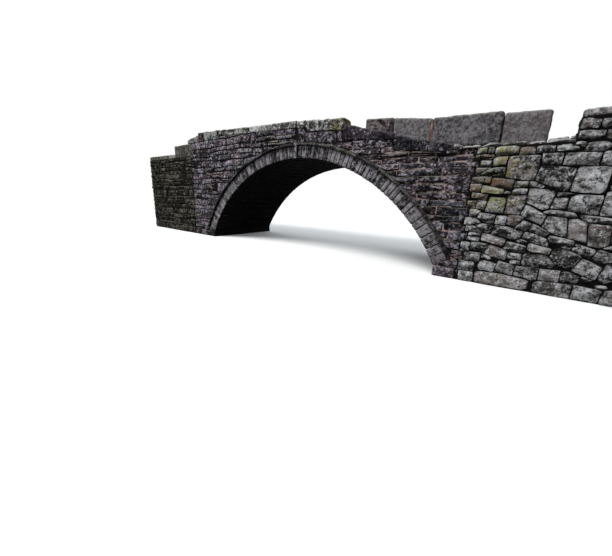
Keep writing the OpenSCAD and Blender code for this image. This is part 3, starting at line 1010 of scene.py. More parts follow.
print("a metre of wall, two courses high, takes",
      len(course_outlines([0, 0.2, 0.4], 0, 1, (0.2, 0.4), random.Random(1))), "stones")

# %% [markdown]
# ## Trimming stones to what they meet
# A mason cuts a stone where it meets the hood, the coping or the deck. An outline stays convex
# when it is cut by straight lines only, so the curve of the hood becomes the tangent nearest
# to each stone, and the line of a coping a straight line over each stone.

# %% Trimming
SMALLEST_PLACE = 0.0015
STEP = 0.03


def middle_of(outline):
    return (sum(p[0] for p in outline) / len(outline),
            sum(p[1] for p in outline) / len(outline))


def outside_arch(outline, radius):
    """Trims an outline by the arch's circle, at the tangent nearest to it."""
    u, v = middle_of(outline)
    out = Vector((u, v - CENTRE_Z)).normalized()
    touch = (out.x * radius, CENTRE_Z + out.y * radius)
    return keep_side(outline, touch, (-out.x, -out.y))


def under_line(outline, height_at):
    """Trims an outline by a line given as a height at each u."""
    us = [p[0] for p in outline]
    a, b = min(us) + 0.002, max(us) - 0.002
    if b <= a:
        return []
    za, zb = height_at(a), height_at(b)
    zm = height_at((a + b) / 2)
    if za is None or zb is None or zm is None:
        return []
    drop = min(0.0, zm - (za + zb) / 2)
    if abs(drop) > STEP:
        za = zb = min(za, zb, zm)
    out = (-(zb - za), b - a)
    return keep_side(outline, (a, za), out)


def trimmed(outlines, radius=None, top=None, bottom=None):
    """Trims outlines by the arch's circle, a line above and a line below, and leaves out
    what is too small for a stone."""
    kept = []
    for outline in outlines:
        if radius is not None and outline:
            outline = outside_arch(outline, radius)
        if top is not None and outline:
            outline = under_line(outline, top)
        if bottom is not None and outline:
            us = [p[0] for p in outline]
            a, b = min(us), max(us)
            slope = (bottom(b) - bottom(a)) / max(b - a, 1e-6)
            outline = keep_side(outline, (a, bottom(a)), (slope, -1))
        if len(outline) > 2 and area(outline) > SMALLEST_PLACE:
            kept.append(outline)
    return kept


def level(height):
    """The top of a wall that is level from end to end."""
    return lambda x: height


print("a square under a level top at 0.5 keeps", area(trimmed([square], None, level(0.5))[0]))

# %% [markdown]
# ## Where the courses end
# The beds were measured on the photograph, course by course. Under the copings a stone is
# split where the coping's bed steps, so that no gap opens there. At the right end the courses
# reach unevenly into the rubble, like teeth.

# %% Beds, teeth and seats


def wall_top(node, y):
    """A function that gives the height of a wall's top at x, past its ends too."""
    low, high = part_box(node)
    return lambda x: top_of([node], min(max(x, low[0] + 0.004), high[0] - 0.004), y)


def bed_steps(node, height_at):
    """Where the top of a wall steps up or down from one coping block to the next."""
    corners = sorted({round(point.co.x, 3) for point in NODES[node].data.vertices})
    return [x for x in corners[1:-1] if abs(height_at(x - 0.01) - height_at(x + 0.01)) > 0.01]


def split_at_steps(outlines, height_at):
    """Splits the stones that reach the coping at the steps of its bed."""
    for place in SEATS[height_at]:
        lower = min(height_at(place - 0.01), height_at(place + 0.01))
        parts = []
        for outline in outlines:
            us = [p[0] for p in outline]
            reaches = max(p[1] for p in outline) > lower
            if reaches and min(us) + 0.004 < place < max(us) - 0.004:
                parts += [keep_side(outline, (place, 0), (way, 0)) for way in (-1, 1)]
            else:
                parts.append(outline)
        outlines = parts
    return outlines


NEAR_Y = -(FACE_Y + CORE_Y) / 2
RIGHT_BEDS = [0.0, 0.20, 0.39, 0.56, 0.74, 0.90, 1.04, 1.18, 1.33, 1.47, 1.61, 1.75, 1.89,
              2.02, 2.13, 2.23, 2.34, 2.47, 2.64, 3.12, 3.35]
LEFT_BEDS = [0.0, 0.18, 0.34, 0.55, 0.70, 0.90, 1.05, 1.25, 1.41, 1.56, 1.77, 1.91, 2.12,
             2.27, 2.48, 2.61, 2.74, 2.87, 3.11, 3.35]
draw = random.Random(7)
TOOTH_ENDS = [RIGHT_X + draw.uniform(0.02, 0.15) for _ in RIGHT_BEDS]
WING_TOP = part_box("wing_wall_far_right")[1][2]
FAR_PARAPET_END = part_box("parapet_far_right")[1][0]
PARAPET_LEFT_TOP = wall_top("parapet_near_left", NEAR_Y)
PARAPET_RIGHT_TOP = wall_top("parapet_near_right", NEAR_Y)
FAR_RIGHT_TOP = wall_top("parapet_far_right", -NEAR_Y)
SEATS = {PARAPET_RIGHT_TOP: bed_steps("parapet_near_right", PARAPET_RIGHT_TOP),
         PARAPET_LEFT_TOP: bed_steps("parapet_near_left", PARAPET_LEFT_TOP),
         FAR_RIGHT_TOP: bed_steps("parapet_far_right", FAR_RIGHT_TOP)}
print("steps in the beds of the copings", list(SEATS.values()))

# %% [markdown]
# The faces are laid in two parts, left and right of the keystone, because their masonry
# differs: the left one has shorter stones, wavier beds and tight joints, the right one longer
# stones and wider joints. One function lays both parts of a face, so the far face follows the
# same rules with other random draws.

# %% The walls round the arch


def arch_face(left_top, right_top, seed):
    """Outlines of the stones round the arch, left and right of the keystone."""
    rng = random.Random(seed)
    left = course_outlines(LEFT_BEDS, LEFT_X, -0.04, (0.20, 0.75), rng, 0.024, split=0.22,
                           loose=0.018)
    right_part = course_outlines(RIGHT_BEDS, 0.04, RIGHT_X, (0.30, 0.95), rng, 0.014,
                                 TOOTH_ENDS, 0.06)
    return (trimmed(split_at_steps(left, left_top), R_HOOD, left_top),
            trimmed(split_at_steps(right_part, right_top), R_HOOD, right_top))


def lay_arch_face(name, place, right_top, seed, stone_seed):
    """Lays the stones round the arch on one face, with tighter joints on the left."""
    wall = Mason(name, coursed, "coursed_stone", seed)
    parts = arch_face(PARAPET_LEFT_TOP, right_top, stone_seed)
    for part, joint in zip(parts, (0.007, 0.015)):
        wall.lay(part, place, joint=joint, proud=(0.008, 0.050), facets=3)
    return wall


lay_arch_face("courses_near", on_near, PARAPET_RIGHT_TOP, 3, 11).finish()
far_wall = lay_arch_face("courses_far", on_far, FAR_RIGHT_TOP, 4, 12)
overrun = course_outlines(RIGHT_BEDS, RIGHT_X, FAR_PARAPET_END, (0.2, 0.5), random.Random(5))
far_wall.lay(trimmed(overrun, None, FAR_RIGHT_TOP, level(WING_TOP)), on_far)
far_wall.finish()

# %% [markdown]
# ## Ring stones and keystone
# The ring is what the eye goes to. The wedges of the solid already have their true joints, so
# the copy is only merged, bevelled, divided and roughened, and each stone gets a tone of its
# own.

# %% Working a copy of a solid
MERGE = 0.0002


def copy_solid(node, name):
    """A merged copy of a packed solid, to be shaped further."""
    deselect()
    copy = NODES[node].copy()
    copy.data = NODES[node].data.copy()
    copy.name = name
    copy.data.materials.clear()
    for collection in NODES[node].users_collection:
        collection.objects.link(copy)
    bpy.context.view_layer.objects.active = copy
    copy.select_set(True)
    bpy.ops.object.mode_set(mode="EDIT")
    bpy.ops.mesh.select_all(action="SELECT")
    bpy.ops.mesh.remove_doubles(threshold=MERGE)
    bpy.ops.mesh.dissolve_limited(angle_limit=math.radians(1))
    bpy.ops.mesh.select_all(action="SELECT")
    bpy.ops.mesh.normals_make_consistent(inside=False)
    bpy.ops.object.mode_set(mode="OBJECT")
    return copy


print("solids that a copy can be made of", len(NODES))

# %% [markdown]
# A joined mesh doesn't know its stones any more. They are found as islands: each point takes
# the lowest number among its neighbours until nothing changes, and then all points of a stone
# have the same number.

# %% Finding and marking the stones


def island_of(mesh):
    """Number of the separate stone that each point of a mesh belongs to."""
    edges = np.empty(len(mesh.edges) * 2, dtype=np.int64)
    mesh.edges.foreach_get("vertices", edges)
    edges = edges.reshape(-1, 2)
    label = np.arange(len(mesh.vertices))
    while True:
        low = np.minimum(label[edges[:, 0]], label[edges[:, 1]])
        new = label.copy()
        np.minimum.at(new, edges[:, 0], low)
        np.minimum.at(new, edges[:, 1], low)
        new = new[new]
        if (new == label).all():
            break
        label = new
    return np.unique(label, return_inverse=True)[1]


def mark_stones(obj, seed, tone=(0.0, 1.0), round_arch=False, rim=0.022):
    """Gives each separate stone its own tone and tint, and marks its ends, which the finish
    darkens for the dirt of the joint and as painted shade in it. The ends are found along X, or
    round the arch."""
    mesh = obj.data
    islands = island_of(mesh)
    rng = random.Random(seed)
    own = np.array([(rng.uniform(*tone), rng.random(), 0.0, 1.0)
                    for _ in range(islands.max() + 1)])
    places = np.empty(len(mesh.vertices) * 3)
    mesh.vertices.foreach_get("co", places)
    places = places.reshape(-1, 3)
    along = places[:, 0]
    if round_arch:
        along = np.arctan2(places[:, 0], places[:, 2] - CENTRE_Z) * R_RING
    low = np.full(len(own), np.inf)
    high = np.full(len(own), -np.inf)
    np.minimum.at(low, islands, along)
    np.maximum.at(high, islands, along)
    from_end = np.minimum(along - low[islands], high[islands] - along)
    marks = own[islands]
    marks[:, 2] = np.clip(1 - from_end / rim, 0, 1)
    layer = mesh.attributes.new("stone", "FLOAT_COLOR", "POINT")
    layer.data.foreach_set("color", marks.ravel().astype(np.float32))
    return len(own)


print("islands in the near ring", island_of(NODES["arch_ring_near"].data).max() + 1,
      "before its points are merged")

# %% [markdown]
# A finished copy stands for its solid, which is hidden and stays for collisions only. The copy
# is shaded smooth up to an angle, so that worn edges look soft and sharp ones stay sharp.

# %% Putting a copy in the solid's place


def end_piece(obj, slot, *replaced, angle=50):
    """Shades a finished copy and puts it in the solid's place."""
    keep_inside(obj)
    deselect()
    bpy.context.view_layer.objects.active = obj
    obj.select_set(True)
    bpy.ops.object.shade_smooth_by_angle(angle=math.radians(angle))
    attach(obj, "root")
    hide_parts(*replaced)
    obj.data.calc_loop_triangles()
    print(obj.name, len(obj.data.loop_triangles), "triangles")


SIDES = ("near", "far")
print("copies are made for the sides", SIDES)

# %% Ring stones
for side in SIDES:
    ring = copy_solid(f"arch_ring_{side}", f"ring_stones_{side}")
    apply(ring, "BEVEL", width=0.010, segments=1, limit_method="ANGLE",
          angle_limit=math.radians(40))
    apply(ring, "SUBSURF", subdivision_type="SIMPLE", levels=2, render_levels=2)
    roughen(ring, 0.07, 0.016)
    count = mark_stones(ring, 21, round_arch=True, rim=0.012)
    ring.data.materials.append(ring_stone)
    end_piece(ring, "ring_stone", f"arch_ring_{side}")
    print("ring stones", count)
    key = copy_solid(f"keystone_{side}", f"keystone_{side}_worked")
    apply(key, "BEVEL", width=0.012, segments=2, limit_method="ANGLE",
          angle_limit=math.radians(40))
    apply(key, "SUBSURF", subdivision_type="SIMPLE", levels=3, render_levels=3)
    roughen(key, 0.07, 0.012)
    mark_stones(key, 22, tone=(0.45, 0.45))
    key.data.materials.append(ring_stone)
    end_piece(key, "ring_stone", f"keystone_{side}")

# %% [markdown]
# ## Long blocks: hood, copings, upright slabs
# Weather rounds a gritstone block until no edge is straight. A voxel remesh gives an even
# skin of small faces, a soft noise moves it, and a smooth takes the last sharpness off. Each
# block is worked by itself, so that neighbours don't grow together.

# %% Weathering a block
BLOCK_ROUNDS = 3
SLAB_ROUNDS = 22
BROAD_DENT, FINE_DENT = 0.22, 0.06
FINE_SHARE = 0.45
TONES = {"upright": (0.40, 0.75), "coping": (0.25, 0.90)}


def weathered(node, name, voxel, wear, seed, finish_at):
    """A weathered copy of a solid of separate blocks, worked one by one. finish_at gives
    the finish of a block whose middle lies at x."""
    rounds = SLAB_ROUNDS if node.startswith("upright") else BLOCK_ROUNDS
    whole = copy_solid(node, name)
    deselect()
    bpy.context.view_layer.objects.active = whole
    whole.select_set(True)
    bpy.ops.mesh.separate(type="LOOSE")
    blocks = list(bpy.context.selected_objects)
    for block in blocks:
        deselect()
        bpy.context.view_layer.objects.active = block
        block.select_set(True)
        xs = [corner[0] for corner in block.bound_box]
        block.data.materials.append(finish_at((min(xs) + max(xs)) / 2))
        apply(block, "REMESH", mode="VOXEL", voxel_size=voxel)
        apply(block, "SMOOTH", factor=0.5, iterations=rounds)
        roughen(block, BROAD_DENT, wear)
        roughen(block, FINE_DENT, wear * FINE_SHARE)
        apply(block, "SMOOTH", factor=0.4, iterations=1)
    deselect()
    for block in blocks:
        block.select_set(True)
    bpy.context.view_layer.objects.active = blocks[0]
    if len(blocks) > 1:
        bpy.ops.object.join()
    whole = bpy.context.view_layer.objects.active
    whole.name = name
    whole.data.name = name
    tone = TONES.get(node.split("_")[0], (0.0, 1.0))
    mark_stones(whole, seed, tone, round_arch=node.startswith("hood"))
    return whole


print("kinds of block with tones of their own", list(TONES))

# %% [markdown]
# Blocks of one row differ in colour. Left of the crown the copings are greener, the blocks
# right of the crown are almost black but for the first, the first upright slab is brown, and
# the sloping end stone is pale. So the finish is chosen by the place of each block's middle.

# %% Long blocks
CROWN_START, CROWN_END = -1.6, 1.30
SLOPING_END_X = -4.45
FIRST_SLAB_END = 1.45


def finish_for(own):
    """Gives a function that picks a block's finish by the place of its middle."""
    def finish_at(x):
        if own == slab_stone and 0 < x < FIRST_SLAB_END:
            return slab_brown
        if own == slab_brown and x < SLOPING_END_X:
            return coping_pale
        if own == coping_pale and x < CROWN_START:
            return coping_left
        return coping_pale if own == coping_dark and x < CROWN_END else own

    return finish_at


LONG_BLOCKS = [
    ("hood_near", 0.016, 0.032, hood_stone, "coursed_stone"),
    ("hood_far", 0.024, 0.028, hood_stone, "coursed_stone"),
    ("coping_near_left", 0.018, 0.040, coping_pale, "coping_stone"),
    ("coping_near_right", 0.018, 0.056, coping_dark, "dark_block"),
    ("coping_far_left", 0.026, 0.040, coping_pale, "coping_stone"),
    ("coping_far_crown", 0.026, 0.040, coping_pale, "coping_stone"),
    ("upright_slabs_far", 0.024, 0.036, slab_stone, "slab_stone"),
    ("end_stones_near", 0.018, 0.030, slab_brown, "coping_stone"),
    ("end_stones_far", 0.024, 0.030, slab_brown, "coping_stone"),
    ("end_block_near", 0.020, 0.034, paving, "slab_stone"),
    ("end_block_far", 0.028, 0.034, paving, "slab_stone"),
    ("wing_caps_near_left", 0.022, 0.036, paving, "paving_stone"),
    ("wing_caps_far_left", 0.028, 0.036, paving, "paving_stone"),
    ("cope_stones_near", 0.022, 0.046, rubble, "rubble_stone"),
    ("cope_stones_far", 0.028, 0.046, rubble, "rubble_stone"),
]
for number, (node, voxel, wear, material, slot) in enumerate(LONG_BLOCKS):
    block = weathered(node, f"{node}_worked", voxel, wear, 40 + number, finish_for(material))
    end_piece(block, slot, node, angle=60)

# %% [markdown]
# ## Mortar between the upright slabs
# Each joint of the slabs is filled with old mortar, set back from both faces. One was pointed
# again with pink mortar, thin at the top and smeared wide at the foot: a thin box is widened
# at its foot, divided and roughened.

# %% Pointing
SLAB_LOW, SLAB_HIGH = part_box("upright_slabs_far")
SLAB_Y = (SLAB_LOW[1] + SLAB_HIGH[1]) / 2
JOINTS_X = [SLAB_LOW[0] + share * (SLAB_HIGH[0] - SLAB_LOW[0]) for share in (0.20, 0.44, 0.80)]
PINK_X = JOINTS_X[1]
SMEAR_LONG, SMEAR_WIDER = 0.64, 9


def slab_top(x):
    return top_of(["upright_slabs_far"], x, SLAB_Y)


def start_filling(name, at, size):
    """A box of mortar in edit mode, with its middle at a place."""
    deselect()
    bpy.ops.mesh.primitive_cube_add(size=1, location=at, scale=size)
    filling = bpy.context.object
    filling.name = name
    bpy.ops.object.transform_apply(location=True, rotation=False, scale=True)
    bpy.ops.object.mode_set(mode="EDIT")
    return filling


def end_filling(filling, cuts, wear, material):
    """Divides and roughens a box of mortar and gives it to the slabs."""
    bpy.ops.mesh.select_all(action="SELECT")
    bpy.ops.mesh.subdivide(number_cuts=cuts)
    bpy.ops.object.mode_set(mode="OBJECT")
    roughen(filling, 0.05, wear)
    filling.data.materials.append(material)
    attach(filling, "root")
    print(filling.name, len(filling.data.polygons), "faces")


for number, x in enumerate(JOINTS_X):
    high = min(slab_top(x + way) for way in (-0.06, 0.06)) - 0.07
    low = FAR_RIGHT_TOP(x) - 0.02
    filling = start_filling(f"slab_joint_{number + 1}", (x, SLAB_Y, (low + high) / 2),
                            (0.08, 0.13, high - low))
    end_filling(filling, 5, 0.010, old_mortar)

smear_z = slab_top(PINK_X - 0.05) - 0.36
smear = start_filling("slab_pointing", (PINK_X, SLAB_LOW[1] + 0.030, smear_z),
                      (0.014, 0.080, SMEAR_LONG))
pick_points(smear, lambda p: p.z < smear_z)
bpy.ops.transform.resize(value=(SMEAR_WIDER, 1, 1), center_override=(PINK_X, 0, 0))
end_filling(smear, 9, 0.014, pointing)

# %% [markdown]
# ## Dry rubble wing walls
# Dry-stone walling is a fitting game: big boulders first, then smaller stones to fill. Here a
# stone is first a rounded box with a place, a size and a lean. The joint between two stones
# shares the space between them by their sizes, and lies along the flatter side, so that long
# flat stones stay long and no stones overlap.

# %% Joints between rubble stones
BOXY = 3.0
SQUARE = 4.0
CORNERS = 16


def reach_of(stone, direction):
    """Distance from a stone's middle to its rounded box in a direction."""
    lean = math.radians(stone[4])
    c, s = math.cos(lean), math.sin(lean)
    along = abs(direction[0] * c + direction[1] * s) / (stone[2] / 2)
    across = abs(direction[1] * c - direction[0] * s) / (stone[3] / 2)
    return (along ** BOXY + across ** BOXY) ** (-1 / BOXY)


def joint_between(stone, other):
    """A point of the joint between two stones, and the way across it to the other one."""
    gap = Vector((other[0] - stone[0], other[1] - stone[1]))
    towards = gap.normalized()
    mine = reach_of(stone, towards)
    share = gap.length * mine / (mine + reach_of(other, -towards))
    lean = math.radians((stone[4] + other[4]) / 2)
    c, s = math.cos(lean), math.sin(lean)
    wide, high = stone[2] + other[2], stone[3] + other[3]
    along = (gap.x * c + gap.y * s) / wide
    across = (gap.y * c - gap.x * s) / high
    a = math.copysign(abs(along) ** SQUARE, along) / wide
    b = math.copysign(abs(across) ** SQUARE, across) / high
    out = Vector((a * c - b * s, a * s + b * c)).normalized()
    return (stone[0] + towards.x * share, stone[1] + towards.y * share), out


def rubble_outlines(stones, spread):
    """Shares the wall among the stones and returns an outline for each."""
    outlines = []
    for i, stone in enumerate(stones):
        outline = []
        for k in range(CORNERS):
            a = 2 * math.pi * (k + 0.5) / CORNERS
            d = (math.cos(a), math.sin(a))
            reach = reach_of(stone, d) * spread
            outline.append((stone[0] + d[0] * reach, stone[1] + d[1] * reach))
        for j, other in enumerate(stones):
            near = abs(other[0] - stone[0]) + abs(other[1] - stone[1])
            if i == j or near > (stone[2] + other[2]) * 1.5:
                continue
            outline = keep_side(outline, *joint_between(stone, other))
            if not outline:
                break
        outlines.append(outline)
    return outlines


print("two stones side by side meet at", joint_between(
    [0, 0, 0.4, 0.2, 0], [0.3, 0, 0.2, 0.2, 0])[0])

# %% [markdown]
# The stones that show best in the photograph stand in a list, with their places and sizes.
# Around them the wall is filled in rows, wherever there is room for a stone, and small pinning
# stones close what is still open, as a waller does.

# %% Filling the wall
ROOM = 1.45
GRID = 0.03
PIN_ROOM = 7
PIN_APART = 0.12


def room_at(u, v, stones):
    """How far a place is from the nearest stone's box, in that stone's own sizes."""
    best = 9.0
    for stone in stones:
        gap = Vector((u - stone[0], v - stone[1]))
        if gap.length < 1e-6:
            return 0.0
        if gap.length < stone[2] * 2:
            best = min(best, gap.length / reach_of(stone, gap.normalized()))
    return best


def open_places(outlines, u0, u1, v0, v1):
    """Places that lie in no outline, on a grid over the wall."""
    us, vs = np.meshgrid(np.arange(u0 + 0.02, u1, GRID), np.arange(v0 + 0.02, v1, GRID))
    grid = np.column_stack([us.ravel(), vs.ravel()])
    free = np.ones(len(grid), bool)
    for outline in outlines:
        if len(outline) < 3:
            continue
        p = np.array(outline)
        step = np.roll(p, -1, axis=0) - p
        side = (step[:, 0] * (grid[:, 1, None] - p[:, 1])
                - step[:, 1] * (grid[:, 0, None] - p[:, 0]))
        free &= ~((side >= 0).all(axis=1) | (side <= 0).all(axis=1))
    return grid[free]


def fill_rows(stones, u0, u1, v0, v1, heights, draw):
    """Rows of stones wherever the named ones leave room, big ones among them."""
    v = v0
    while v < v1 - heights[0] * 0.5:
        high = min(draw.uniform(*heights), v1 - v)
        u = u0
        while u < u1:
            tall = high * draw.uniform(0.8, 1.15)
            wide = tall * draw.uniform(1.3, 2.6)
            if room_at(u + wide / 2, v + high / 2, stones) > ROOM:
                stones.append([u + wide / 2, v + high / 2 + draw.uniform(-0.02, 0.02), wide,
                               tall, draw.uniform(-12, 7)])
            u += wide * 0.94
        v += high


def fill_gaps(stones, u0, u1, v0, v1, spread, draw):
    """Small pinning stones in what is still open."""
    places = open_places(rubble_outlines(stones, spread), u0, u1, v0, v1)
    added = []
    for u, v in places[draw.sample(range(len(places)), len(places))]:
        around = np.hypot(places[:, 0] - u, places[:, 1] - v) < 0.05
        apart = min((math.hypot(u - s[0], (v - s[1]) * 1.6) for s in added), default=9.0)
        if around.sum() < PIN_ROOM or apart < PIN_APART:
            continue
        high = draw.uniform(0.05, 0.08)
        added.append([u, v, high * draw.uniform(1.5, 2.3), high, draw.uniform(-20, 15)])
    stones.extend(added)


print("room half a metre from a stone", round(room_at(0.5, 0, [[0, 0, 0.4, 0.2, 0]]), 2))

# %% Stones of the near right wing wall, measured one by one
# Each has its place along the bridge and up, its width and height, and its lean in degrees.
NEAR_RUBBLE = [
    [4.57, 2.26, .36, .12, 0], [4.15, 2.33, .20, .10, 0], [4.32, 2.30, .16, .12, 0],
    [4.22, 2.19, .24, .07, 0], [4.20, 2.11, .34, .10, 8], [4.49, 2.11, .25, .13, 8],
    [4.35, 1.93, .52, .14, 3], [4.22, 1.80, .38, .10, -2], [4.62, 1.74, .34, .18, -10],
    [4.13, 1.66, .22, .16, 0], [4.42, 1.64, .36, .14, -5], [4.11, 1.50, .16, .14, 10],
    [4.29, 1.41, .25, .20, -20], [4.56, 1.39, .28, .24, -4], [4.83, 1.42, .26, .30, 0],
    [4.15, 1.22, .19, .27, 15], [4.43, 1.18, .34, .15, 0], [4.67, 1.15, .18, .14, 0],
    [4.87, 1.17, .24, .14, -5], [4.18, 1.03, .24, .13, -15], [4.42, 1.01, .34, .14, -12],
    [4.78, 0.96, .46, .16, -12], [4.11, 0.90, .24, .18, -5], [4.31, 0.86, .22, .14, -10],
    [4.60, 0.83, .44, .13, -14], [4.18, 0.74, .24, .13, -6], [4.38, 0.69, .34, .16, -15],
    [4.69, 0.60, .32, .17, -12], [4.16, 0.55, .27, .25, 0], [4.94, 0.72, .30, .13, -10],
    [4.97, 0.57, .20, .10, 0], [4.84, 1.99, .46, .36, 0], [4.85, 1.63, .22, .10, 0],
    [4.85, 1.74, .22, .10, 0], [5.05, 1.73, .18, .09, -8], [5.25, 1.83, .52, .32, -12],
    [5.66, 1.81, .37, .38, 0], [5.18, 2.12, .27, .18, 0], [5.52, 2.10, .40, .20, -5],
    [5.66, 2.24, .24, .12, 0], [5.84, 2.10, .20, .22, 0], [5.15, 1.54, .37, .30, -20],
    [5.40, 1.45, .22, .18, 0], [5.44, 1.59, .22, .06, 0], [5.68, 1.46, .42, .27, -5],
    [5.99, 1.46, .26, .30, 0], [5.10, 1.27, .36, .19, -35], [5.42, 1.31, .36, .10, -8],
    [5.42, 1.12, .33, .28, 0], [5.68, 1.06, .24, .34, 20], [5.86, 1.24, .34, .10, -8],
    [5.95, 1.02, .34, .38, 0], [5.00, 1.08, .20, .14, -15], [5.22, 1.03, .30, .12, -25],
    [5.20, 0.89, .38, .14, -20], [5.52, 0.88, .36, .13, -15], [5.30, 0.74, .34, .13, -8],
    [5.60, 0.64, .40, .22, -15], [5.81, 0.78, .30, .14, -30], [6.05, 0.72, .26, .16, -20],
    [5.90, 0.49, .32, .22, -30], [6.18, 0.50, .24, .30, 0], [4.85, 2.24, .22, .10, 0],
    [5.08, 2.25, .24, .10, 0], [5.32, 2.25, .24, .10, 0],
]
print("stones by eye", len(NEAR_RUBBLE))

# %% Outlines of a rubble wall


def clear_of_teeth(outline):
    """Trims an outline where the ends of the coursed stones reach into the rubble."""
    if len(outline) < 3 or min(p[0] for p in outline) > RIGHT_X + 0.2:
        return outline
    low, high = min(p[1] for p in outline) + 0.01, max(p[1] for p in outline) - 0.01
    ends = [end for end, a, b in zip(TOOTH_ENDS, RIGHT_BEDS, RIGHT_BEDS[1:])
            if a + 0.02 < high and b - 0.02 > low]
    return keep_side(outline, (max(ends, default=RIGHT_X) + 0.004, 0), (-1, 0))


def rubble_side(named, u0, u1, v0, v1, heights, seed, spread=1.35):
    """Outlines of all stones of a rubble wall between u0 and u1, v0 and v1."""
    draw = random.Random(seed)
    stones = [list(stone) for stone in named]
    if u0 == RIGHT_X:
        stones = [s for s in stones if s[0] > RIGHT_X + 0.17]
        for end, low, high in zip(TOOTH_ENDS, RIGHT_BEDS, RIGHT_BEDS[1:]):
            wide = draw.uniform(0.15, 0.30)
            if high < v1 + 0.05:
                stones.append([end + wide / 2, (low + high) / 2, wide, high - low, 0])
    fill_rows(stones, u0, u1, v0, v1, heights, draw)
    fill_gaps(stones, u0, u1, v0, v1, spread, draw)
    sides = (((u0, 0), (-1, 0)), ((u1, 0), (1, 0)), ((0, v0), (0, -1)), ((0, v1), (0, 1)))
    inside = []
    for outline in rubble_outlines(stones, spread):
        for point, outward in sides:
            outline = keep_side(outline, point, outward)
        inside.append(clear_of_teeth(outline))
    return inside


print("the teeth reach", [round(end - RIGHT_X, 2) for end in TOOTH_ENDS[:5]], "m")

# %% Laying the rubble
WING_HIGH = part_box("raised_wall_near")[1][2]
RAISED_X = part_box("raised_wall_near")[0][0]
RAISED_FAR_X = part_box("raised_wall_far")[0][0]
BULGE = {"joint": 0.011, "bury": 0.06, "lean": 0.35, "facets": 3, "most": 0.064}
ROUGH = {"weather": 0.016, "size": 0.10}
rubble_near = Mason("rubble_near", rubble, "rubble_stone", 31)
parts = rubble_side(NEAR_RUBBLE, RIGHT_X, REACH, 0.0, WING_TOP, (0.13, 0.30), 33)
rubble_near.lay(parts, on_near, BOULDER, proud=(0.040, 0.064), **BULGE)
parts = rubble_side((), RAISED_X, REACH, WING_TOP, WING_HIGH, (0.10, 0.16), 34)
rubble_near.lay(parts, on_near, ROUNDED, proud=(0.035, 0.060), **BULGE)
rubble_near.finish(**ROUGH)

rubble_far = Mason("rubble_far", rubble, "rubble_stone", 35)
parts = rubble_side((), RIGHT_X, REACH, 0.0, WING_TOP, (0.13, 0.28), 36)
rubble_far.lay(parts, on_far, ROUNDED, proud=(0.035, 0.060), **BULGE)
parts = rubble_side((), RAISED_FAR_X, REACH, WING_TOP, WING_HIGH, (0.10, 0.16), 37)
rubble_far.lay(parts, on_far, ROUNDED, proud=(0.035, 0.060), **BULGE)
rubble_far.finish(**ROUGH)

# %% [markdown]
# ## Left wing walls and inner sides
# The left wing walls are old coursed stone, finished very dark. The inner sides of the parapets
# are laid in low courses between the deck and the copings. A bump on the plain solid would look
# flat along its edges, so the same mason lays real stones here too, up to the line of each
# wall's top and down to the deck.

# %% Left wing walls
WING_LEFT_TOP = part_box("wing_wall_near_left")[1][2]
left_wing = Mason("left_wing_courses", dark_wing_courses, "coursed_stone", 51)
for place, seed in ((on_near, 52), (on_far, 53)):
    rng = random.Random(seed)
    lines = beds(0.0, WING_LEFT_TOP, (0.09, 0.22), rng)
    outlines = course_outlines(lines, -REACH, LEFT_X - 0.01, (0.2, 0.6), rng, 0.014)
    left_wing.lay(trimmed(outlines, None, level(WING_LEFT_TOP)), place,
                  proud=(0.015, 0.045), facets=2)
left_wing.finish(weather=0.012)

# %% Inner sides of the parapets
INNER_FOOT, INNER_TOP = 1.95, 3.3
inner = Mason("inner_courses", coursed, "coursed_stone", 61)
INNER = [
    (on_near_inner, LEFT_X, 0.0, PARAPET_LEFT_TOP),
    (on_near_inner, 0.0, RIGHT_X, PARAPET_RIGHT_TOP),
    (on_far_inner, LEFT_X, 0.0, PARAPET_LEFT_TOP),
    (on_far_inner, 0.0, FAR_PARAPET_END, FAR_RIGHT_TOP),
    (on_near_inner, RIGHT_X, RAISED_X, level(WING_TOP)),
    (on_near_inner, RAISED_X, REACH, level(WING_HIGH)),
    (on_far_inner, RAISED_FAR_X, REACH, level(WING_HIGH)),
]


def deck_at(x):
    return float(np.interp(x, DECK_X, DECK_Z))


for number, (place, u0, u1, top) in enumerate(INNER):
    rng = random.Random(62 + number)
    lines = beds(INNER_FOOT, INNER_TOP, (0.10, 0.17), rng)
    outlines = course_outlines(lines, u0, u1, (0.2, 0.5), rng)
    inner.lay(trimmed(outlines, None, top, deck_at), place, proud=(0.008, 0.018))
inner.finish()

# %% [markdown]
# ## The ends of the bridge
# At both ends the walls, the fill and the paving reach the very edge of the bridge's box, so
# a stone laid on them would stand out of it. Their solids are replaced by copies that are
# shorter by the thickness of the end stones, and the stones are laid on these.

# %% Shorter copies at the ends
END_DEPTH = 0.03
ENDS = {
    "approach_fill_left": "hearting", "approach_fill_right": "hearting",
    "approach_paving_left": "paving_stone", "approach_paving_right": "paving_stone",
    "wing_wall_near_left": "coursed_stone", "wing_wall_far_left": "coursed_stone",
    "wing_wall_near_right": "rubble_stone", "wing_wall_far_right": "rubble_stone",
    "raised_wall_near": "rubble_stone", "raised_wall_far": "rubble_stone",
}
for node, slot in ENDS.items():
    material = NODES[node].data.materials[0]
    core = copy_solid(node, f"{node}_core")
    way = 1 if sum(corner[0] for corner in core.bound_box) > 0 else -1
    bpy.ops.object.mode_set(mode="EDIT")
    pick_points(core, lambda p: abs(p.x) > REACH - 0.001)
    bpy.ops.transform.translate(value=(-way * END_DEPTH, 0, 0))
    bpy.ops.object.mode_set(mode="OBJECT")
    core.data.materials.append(material)
    end_piece(core, slot, node)

# %% [markdown]
# Under the deck the end stones run from face to face, and above it only over the thickness of
# each wall. Where a wall rises over its neighbour, the end that shows is its shoulder, and it
# gets a few low courses of its own.

